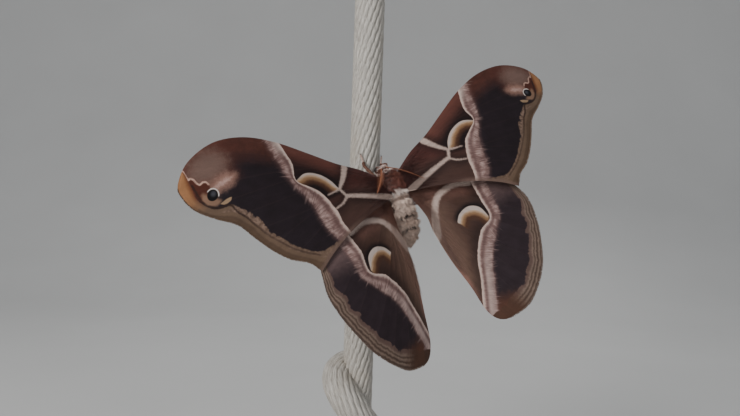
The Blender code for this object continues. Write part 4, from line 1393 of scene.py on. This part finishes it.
FOOT_JOINTS = 5
FOOT_RINGS = 6                 # between the ends of each joint
CLAW_LENGTH = 0.75
CLAW_SPREAD = 0.32
CLAW_HOOK = 0.28
JOINT_START = 0.82             # share of a thigh's or shin's length where its joint begins
HAIRS_PER_ROW = 97             # of the legs' hairs, on their map


def rope_point(degrees, height, clearance):
    angle = math.radians(degrees)
    reach = ROPE_RADIUS + clearance
    return np.array([math.sin(angle) * reach, -math.cos(angle) * reach, MOTH_PLACE[2] + height])


def leg_points(name):
    """Hip, knee, ankle, middle of the foot and toe, in mm in the scene's frame."""
    hip, knee_out, ankle, toe = LEGS[name]
    start = to_world(hip) / MM
    ankle_point = rope_point(*ankle, GAP + LEG_RADII[2])
    toe_point = rope_point(*toe, GAP + LEG_RADII[3])
    middle = rope_point((ankle[0] + toe[0]) / 2, (ankle[1] + toe[1]) / 2, GAP + LEG_RADII[3])
    knee = (start + ankle_point) / 2 + world_direction(knee_out)
    return start, knee, ankle_point, middle, toe_point


def add_leg_part(bundle, begin, end, thick, thin, joint):
    """A thigh or a shin with its joint; returns the stretches that carry hair."""
    steps = np.linspace(0, 1, 12)
    path = begin + (end - begin) * steps[:, None]
    swell = np.sin(math.pi * np.clip(steps, 0.02, 0.98)) * 0.08
    radii = np.linspace(thick, thin, len(steps)) + swell - 0.03
    bundle.tube(path, radii, 12, pale=np.where(steps > 0.85, joint, 0.0))
    joint_start = begin + (end - begin) * JOINT_START
    return [(begin, joint_start, thick, 360, 0.65, 0.0), (joint_start, end, thin, 90, 0.5, joint)]


def add_foot(bundle, ankle, middle, toe):
    """A foot of short joints with its claws; returns the stretches that carry hair."""
    foot = even_points(smooth_line([ankle, middle, toe]), FOOT_JOINTS * FOOT_RINGS + 1)
    stretches = []
    for joint in range(FOOT_JOINTS):
        run = foot[joint * FOOT_RINGS:(joint + 1) * FOOT_RINGS + 1]
        radii = 0.23 + 0.05 * np.sin(np.linspace(0.15, 2.9, len(run))) - joint * 0.012
        bundle.tube(run, radii, 10, pale=1.0 - 0.8 * (np.linspace(0, 1, len(run)) > 0.8))
        stretches.append((run[0], run[-1], 0.26, 60, 0.35, 1.0))
    add_claws(bundle, foot, toe)
    return stretches


def add_claws(bundle, foot, toe):
    """Two claws that leave the end of a foot and hook in towards the rope."""
    heading = unit(foot[-1] - foot[-4])
    inward = unit(np.array([-toe[0], -toe[1], 0.0]))
    spread = np.cross(heading, inward)
    steps = np.linspace(0, 1, 6)[:, None]
    for side in SIDES.values():
        claw = (foot[-1] + heading * CLAW_LENGTH * steps + spread * side * CLAW_SPREAD * steps
                + inward * CLAW_HOOK * steps ** 2)
        bundle.tube(claw, 0.13 - 0.10 * steps[:, 0], 6, pale=-1.0)


def add_legs(material, coat, rng):
    bundle = Bundle()
    stretches = []
    for name in LEGS:
        start, knee, ankle, middle, toe = leg_points(name)
        stretches += add_leg_part(bundle, start, knee, 0.46, 0.40, 0.0)
        stretches += add_leg_part(bundle, knee, ankle, 0.40, 0.28, -0.7)
        stretches += add_foot(bundle, ankle, middle, toe)
    piece = bundle.piece("legs_skin", material)
    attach(piece, "root")
    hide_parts(*LEGS)
    add_leg_hair(stretches, coat, rng)


def add_leg_hair(stretches, material, rng):
    """Short hairs round every stretch: its ends, radius, number of hairs, their length and paleness."""
    roots, normals, lays, lengths, pales = [], [], [], [], []
    for begin, end, radius, count, length, pale in stretches:
        heading = unit(end - begin)
        first = unit(np.cross(heading, TUBE_GUIDE))
        second = np.cross(heading, first)
        turn = rng.uniform(0, 2 * math.pi, count)[:, None]
        along = rng.uniform(0.0, 0.97, count)[:, None]
        normal = first * np.cos(turn) + second * np.sin(turn)
        roots.append(begin + (end - begin) * along + normal * radius * 0.85)
        normals.append(normal)
        lays.append(np.tile(heading, (count, 1)))
        lengths.append(np.full(count, length))
        pales.append(np.full(count, pale))
    roots, normals, lays = np.vstack(roots), np.vstack(normals), np.vstack(lays)
    lengths, pales = np.concatenate(lengths), np.concatenate(pales)
    count = len(roots)
    row, place = np.divmod(np.arange(count), HAIRS_PER_ROW)
    uv = np.stack([place / 100.0, row / (count / HAIRS_PER_ROW + 1)], axis=1)
    size = rng.uniform(0.7, 1.2, count)
    piece = make_tufts("coat_legs", roots, normals, jitter(rng, lays, 0.14), lengths * size, 0.10 * size,
                       28.0 * rng.uniform(0.5, 1.5, count), uv, {"pale": pales}, material)
    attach(piece, "root")


def leg_material(name, hairy):
    paint = Paint(name)
    place = paint.node("ShaderNodeTexCoord", {}, "Object")
    pale = paint.stored("pale")
    speck = paint.noise(place, 1800.0, 3.0)
    brown = paint.mix(tone(82, 54, 44), tone(118, 82, 66), speck)
    colour = paint.mix(brown, tone(196, 170, 158), paint.ramp(pale, 0.3, 0.8))
    colour = paint.mix(colour, tone(38, 26, 22), paint.ramp(pale, -0.2, -0.8))
    if hairy:
        colour = paint.brightened(colour, 0.75 + paint.stored("tip") * 0.45)
    return paint.finish(colour, 0.6, speck, bump=0.3, depth=0.04, specular=0.35)


# ================================================ hair on the wings

WING_HAIR = {"forewing": 3600, "hindwing": 4200}


def hair_roots(name, count, rng):
    """Flat places and directions for the hairs of one wing: thick at its root, and down the inner edge."""
    hind = name.startswith("hind")
    shape = HINDWING if hind else FOREWING
    costa, _, inner = wing_edges(shape)
    reach = 2.4 + rng.exponential(2.6, count)
    share = rng.uniform(0.04, 0.96, count)
    top = np.interp(reach, costa[:, 0], costa[:, 1])
    order = np.argsort(inner[:, 0])
    bottom = np.interp(reach, inner[order, 0], inner[order, 1])
    if hind:
        bottom = np.full(count, -9.0)
    flat = np.stack([reach, bottom + (top - bottom) * share], axis=1)
    lean = np.stack([np.ones(count), (share - 0.45) * 0.5], axis=1)
    if hind:
        edge = inner[::-1]
        run = run_along(edge)
        down = np.arange(count) % 5 > 0
        at = rng.beta(1.1, 2.0, count) * 30.0 + 1.0
        spot = points_at(edge, run, at)
        heading = unit(points_at(edge, run, at + 0.5) - spot)
        inward = np.stack([-heading[:, 1], heading[:, 0]], axis=1)
        spot = spot + inward * (0.12 + rng.exponential(0.9, count))[:, None]
        flat = np.where(down[:, None], spot, flat)
        lean = np.where(down[:, None], heading + inward * rng.uniform(0.04, 0.34, count)[:, None], lean)
    return flat, unit(lean + rng.normal(0, 0.09, (count, 2)))


def add_wing_hair(name, rng, material):
    """Long soft hairs that spread from the body over a wing."""
    kind = name.split("_")[0]
    count = WING_HAIR[kind]
    flat, lean = hair_roots(name, count, rng)
    lift = np.full(count, WING_HALF * 0.7)
    lengths = rng.uniform(1.2, 2.8, count) * (1.0 if kind == "forewing" else 1.5)
    low = flat.min(axis=0)
    uv = (flat - low) / (flat.max(axis=0) - low).max() * 0.99
    seed = np.full(count, WING_NOISE_SHIFT * side_of(name))
    strokes = H_STROKES if kind == "hindwing" else F_STROKES
    bars = stroke_distance(flat, strokes)
    bars_ahead = stroke_distance(flat + lean * lengths[:, None], strokes)
    attributes = {"hind": np.full(count, float(kind == "hindwing")), "shade": rng.uniform(-0.5, 0.5, count),
                  "flat": np.stack([flat[:, 0], flat[:, 1], seed], axis=1),
                  "bars": bars, "bars_ahead": bars_ahead}
    piece = make_tufts("coat_" + name, *on_wing(name, flat, lean, lift), lengths,
                       rng.uniform(0.03, 0.055, count), rng.uniform(2.0, 9.0, count), uv, attributes,
                       material)
    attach(piece, "root")


def wing_hair_material():
    paint = Paint("wing_root_hair")
    tip = paint.stored("tip")
    _, y, _ = paint.split(paint.stored_vector("flat"))
    hind = paint.mix(tone(108, 76, 66), tone(128, 100, 89), paint.ramp(y, -7.0, -16.0))
    colour = paint.mix(tone(68, 40, 36), hind, paint.stored("hind"))
    bars = paint.stored("bars") * (1.0 - tip) + paint.stored("bars_ahead") * tip
    colour = paint.mix(colour, tone(174, 153, 142), paint.ramp(bars, 0.5, 0.0) * 0.9)
    colour = paint.brightened(colour, 0.72 + tip * 0.30 + paint.stored("shade") * 0.4)
    return paint.finish(colour, 0.6, specular=0.15, sheen=0.05)


def add_fringe(name, rng, material):
    """Short scale tufts that stand out along the outer margin."""
    hind = name.startswith("hind")
    shape = HINDWING if hind else FOREWING
    _, margin, _ = wing_edges(shape)
    run = run_along(margin)
    count = int(run[-1] / FRINGE_SPACING)
    at = np.sort(rng.uniform(1.2, run[-1] - 1.2, count))
    flat = points_at(margin, run, at)
    tangent = points_at(unit(np.gradient(margin, axis=0)), run, at)
    outward = tangent[:, ::-1] * (-1.0, 1.0)
    ends = smooth_step(np.minimum(at, run[-1] - at), 0, FRINGE_FADE)[:, None]
    flat = flat - outward * (FRINGE * ends + 0.10)
    lean = outward + tangent * rng.normal(0, 0.22, (count, 1))
    lift = rng.uniform(-0.02, 0.04, count)
    uv = np.stack([at / run[-1] * 0.99, np.full(count, 0.5)], axis=1)
    attributes = {"hind": np.full(count, float(hind)), "shade": rng.uniform(-0.5, 0.5, count)}
    lengths = rng.uniform(0.46, 0.56, count) * (0.4 + 0.6 * ends[:, 0])
    piece = make_tufts("fringe_" + name, *on_wing(name, flat, lean, lift), lengths,
                       rng.uniform(0.11, 0.16, count), rng.uniform(-5, 6, count), uv, attributes,
                       material, 0.3)
    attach(piece, "root")


def fringe_material():
    paint = Paint("margin_fringe")
    colour = paint.mix(tone(98, 80, 66), tone(100, 85, 76), paint.stored("hind"))
    colour = paint.brightened(colour, 0.95 + paint.stored("shade") * 0.2 + paint.stored("tip") * 0.25)
    return paint.finish(colour, 0.65, specular=0.2)


# ================================================ rope

YARN_COLUMNS = 22
YARN_STAGGER = 16.0 / 22.0     # of a float's length, from one column to the next
YARN_LENGTH = 5.2
YARN_LEAN = 15.0               # degrees
YARN_DEPTH = 0.60
YARN_CREST = 0.12              # how far the floats stand out past the rope's radius
ROPE_CELL = 0.33
ROPE_ROUND = 144
ROPE_DOME = 0.5                # how far a cut end bulges
# The rings that close a cut end: share of its radius, and of the bulge.
DOME_RINGS = ((0.85, 0.2775), (0.6, 0.64), (0.3, 0.91), (0.02, 1.0))
ROPE_GUIDE = (0.35, 0.9, 0.1)


def yarn_fields(turn, along, radius):
    """The braid's floats: the surface's height, and where a point lies across and along its float."""
    width = 2 * math.pi * radius / YARN_COLUMNS
    arc = turn * radius
    lean = math.radians(YARN_LEAN)
    half_width = 0.60 * width
    half_length = 0.72 * YARN_LENGTH
    best = np.full(arc.shape, -1.0)
    across = np.zeros(arc.shape)
    down = np.zeros(arc.shape)
    seed = np.zeros(arc.shape)
    near_column = np.floor(arc / width)
    for column_step in (-1, 0, 1, 2):
        column = near_column + column_step
        shift = (column * YARN_STAGGER) * YARN_LENGTH
        near_row = np.floor((along - shift) / YARN_LENGTH)
        for row_step in (0, 1):
            row = near_row + row_step
            dx = arc - column * width
            dy = along - shift - row * YARN_LENGTH
            a = dx * math.cos(lean) - dy * math.sin(lean)
            b = dx * math.sin(lean) + dy * math.cos(lean)
            height = 1 - (a / half_width) ** 2 - np.abs(b / half_length) ** 3 + 0.3 * b / half_length
            closer = height > best
            best = np.where(closer, height, best)
            across = np.where(closer, a, across)
            down = np.where(closer, b, down)
            seed = np.where(closer, np.mod(column, YARN_COLUMNS) * 7.31 + row * 3.17, seed)
    height = np.sqrt(np.clip(best, 0.0, 1.2)) - 1.0
    return height, np.stack([across, down, seed], axis=-1)


def carried_frame(path):
    """The direction along a path, and two across it that are carried along without twist."""
    tangents = unit(np.gradient(path, axis=0))
    first = np.zeros_like(path)
    first[0] = unit(np.cross(tangents[0], ROPE_GUIDE))
    for row in range(1, len(path)):
        carried = first[row - 1] - tangents[row] * (first[row - 1] @ tangents[row])
        first[row] = carried / np.linalg.norm(carried)
    return tangents, first, np.cross(tangents, first)


def end_rings(centre, ring, outward):
    """Rings that close a cut end by a shallow dome, from the rim to the middle."""
    rings = []
    for share, rise in DOME_RINGS:
        rings.append(centre + (ring - centre) * share + outward * ROPE_DOME * rise)
    return np.stack(rings)


def rope_tube(name, path, radii, node, material, length_offset=0.0):
    """A braided tube along a path, closed at both ends by shallow domes."""
    tangents, first, second = carried_frame(path)
    turns = np.arange(ROPE_ROUND) / ROPE_ROUND * 2 * math.pi
    along = run_along(path)
    turn, run = np.meshgrid(turns, along + length_offset, indexing="xy")
    height, yarn = yarn_fields(turn, run, ROPE_RADIUS)
    reach = np.asarray(radii)[:, None] + height * YARN_DEPTH + YARN_CREST
    rings = (path[:, None] + reach[..., None] * (first[:, None] * np.cos(turn)[..., None]
                                                 + second[:, None] * np.sin(turn)[..., None]))
    start = end_rings(path[0], rings[0], -tangents[0])[::-1]
    stacked = np.concatenate([start, rings, end_rings(path[-1], rings[-1], tangents[-1])])
    pads = ((len(DOME_RINGS), len(DOME_RINGS)), (0, 0))
    attributes = {"yarn": np.pad(yarn, pads + ((0, 0),)).reshape(-1, 3),
                  "proud": np.pad(height, pads).ravel(),
                  "cut": np.pad(np.zeros(height.shape), pads, constant_values=1.0).ravel()}
    faces = grid_faces(len(stacked), ROPE_ROUND, closed=True)
    piece = make_piece(name, stacked.reshape(-1, 3) * MM, faces, material, attributes)
    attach(piece, "root")
    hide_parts(node)


def rope_material():
    paint = Paint("braided_rope")
    yarn = paint.stored_vector("yarn")
    across, down, seed = paint.split(yarn)
    fibre_place = paint.join(across * 7.0, down * 0.35, seed)
    fibre = paint.noise(fibre_place, 1.0, 4.0, 0.6)
    proud = paint.stored("proud")
    place = paint.node("ShaderNodeTexCoord", {}, "Object")
    dirt = paint.noise(place, 60.0, 4.0, 0.6)
    colour = paint.mix(tone(124, 119, 111), tone(192, 187, 178), paint.ramp(fibre, 0.3, 0.7))
    # Painted shade: darker in the grooves between the floats.
    colour = paint.mix(colour, tone(112, 106, 98), paint.ramp(proud, -0.35, -0.95) * 0.8)
    colour = paint.mix(colour, tone(150, 138, 120), paint.ramp(dirt, 0.50, 0.75) * 0.45)
    colour = paint.mix(colour, tone(170, 156, 134), paint.stored("cut") * 0.8)
    return paint.finish(colour, 0.42, fibre, bump=0.8, depth=0.2, specular=0.5)


def knot_path():
    route = smooth_line(KNOT_ROUTE, 24)
    angles = np.radians(route[:, 0])
    line = np.stack([np.sin(angles) * route[:, 2], -np.cos(angles) * route[:, 2], route[:, 1]], axis=1)
    line = even_points(line, int(run_along(line)[-1] / ROPE_CELL))
    share = np.linspace(0, 1, len(line))
    swell = np.sqrt(np.clip(np.minimum(6 * share, 6 * (1 - share)), 0, 1))
    return line, KNOT_END_RADIUS + (KNOT_RADIUS - KNOT_END_RADIUS) * swell


def add_rope():
    material = rope_material()
    rows = int((ROPE_TOP - ROPE_FOOT) / ROPE_CELL)
    heights = np.linspace(ROPE_FOOT + ROPE_DOME, ROPE_TOP - ROPE_DOME, rows)
    path = np.stack([np.zeros(rows), np.zeros(rows), heights], axis=1)
    rope_tube("rope_length", path, np.full(rows, ROPE_RADIUS), "perch_rope", material)
    line, radii = knot_path()
    rope_tube("rope_turn", line, radii, "perch_knot", material, length_offset=2.0)


# ================================================ stand

def walnut_material():
    paint = Paint("walnut")
    place = paint.node("ShaderNodeTexCoord", {}, "Object")
    x, y, z = paint.split(place)
    warp = paint.noise(place, 18.0, 3.0) * 0.012
    rings = paint.noise(paint.join((x + warp) * 260.0, y * 14.0, z * 60.0), 1.0, 4.0, 0.6)
    pores = paint.noise(paint.join(x * 2600.0, y * 90.0, z * 400.0), 1.0, 2.0)
    colour = paint.mix(tone(66, 42, 28), tone(120, 82, 54), rings)
    colour = paint.mix(colour, tone(40, 26, 18), paint.ramp(pores, 0.60, 0.72) * 0.6)
    height = rings * 0.4 - paint.ramp(pores, 0.6, 0.72)
    return paint.finish(colour, 0.38 + pores * 0.15, height, bump=0.3, depth=0.08)


def brass_material():
    paint = Paint("brass")
    place = paint.node("ShaderNodeTexCoord", {}, "Object")
    x, y, z = paint.split(place)
    turned = paint.noise(paint.join(x * 30.0, y * 30.0, z * 6000.0), 1.0, 2.0)
    cloud = paint.noise(place, 160.0, 3.0)
    colour = paint.mix(tone(196, 158, 92), tone(214, 180, 116), cloud)
    paint.shader.inputs["Metallic"].default_value = 1.0
    return paint.finish(colour, 0.24 + turned * 0.14, turned, bump=0.15, depth=0.02)


def finish_stand():
    walnut = walnut_material()
    brass = brass_material()
    for name, material in (("stand_base", walnut), ("stand_rod", brass), ("stand_ferrule", brass)):
        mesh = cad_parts[name].data
        mesh.materials.clear()
        mesh.materials.append(material)


# ================================================ all together


def main():
    add_camera()
    add_floor()
    add_lighting()
    finish_stand()
    add_rope()
    materials = {"forewing": forewing_material(), "hindwing": hindwing_material()}
    fringe = fringe_material()
    rng = np.random.default_rng(SEED + 1)
    root_hair = wing_hair_material()
    for name in WING_POSES:
        add_wing(name, materials[name.split("_")[0]])
        add_fringe(name, rng, fringe)
        add_wing_hair(name, rng, root_hair)
    add_body()
    add_eyes()
    comb = antenna_material()
    for name in ANTENNA_POSES:
        add_antenna(name, comb)
    add_legs(leg_material("leg_skin", False), leg_material("leg_hair", True), rng)


main()
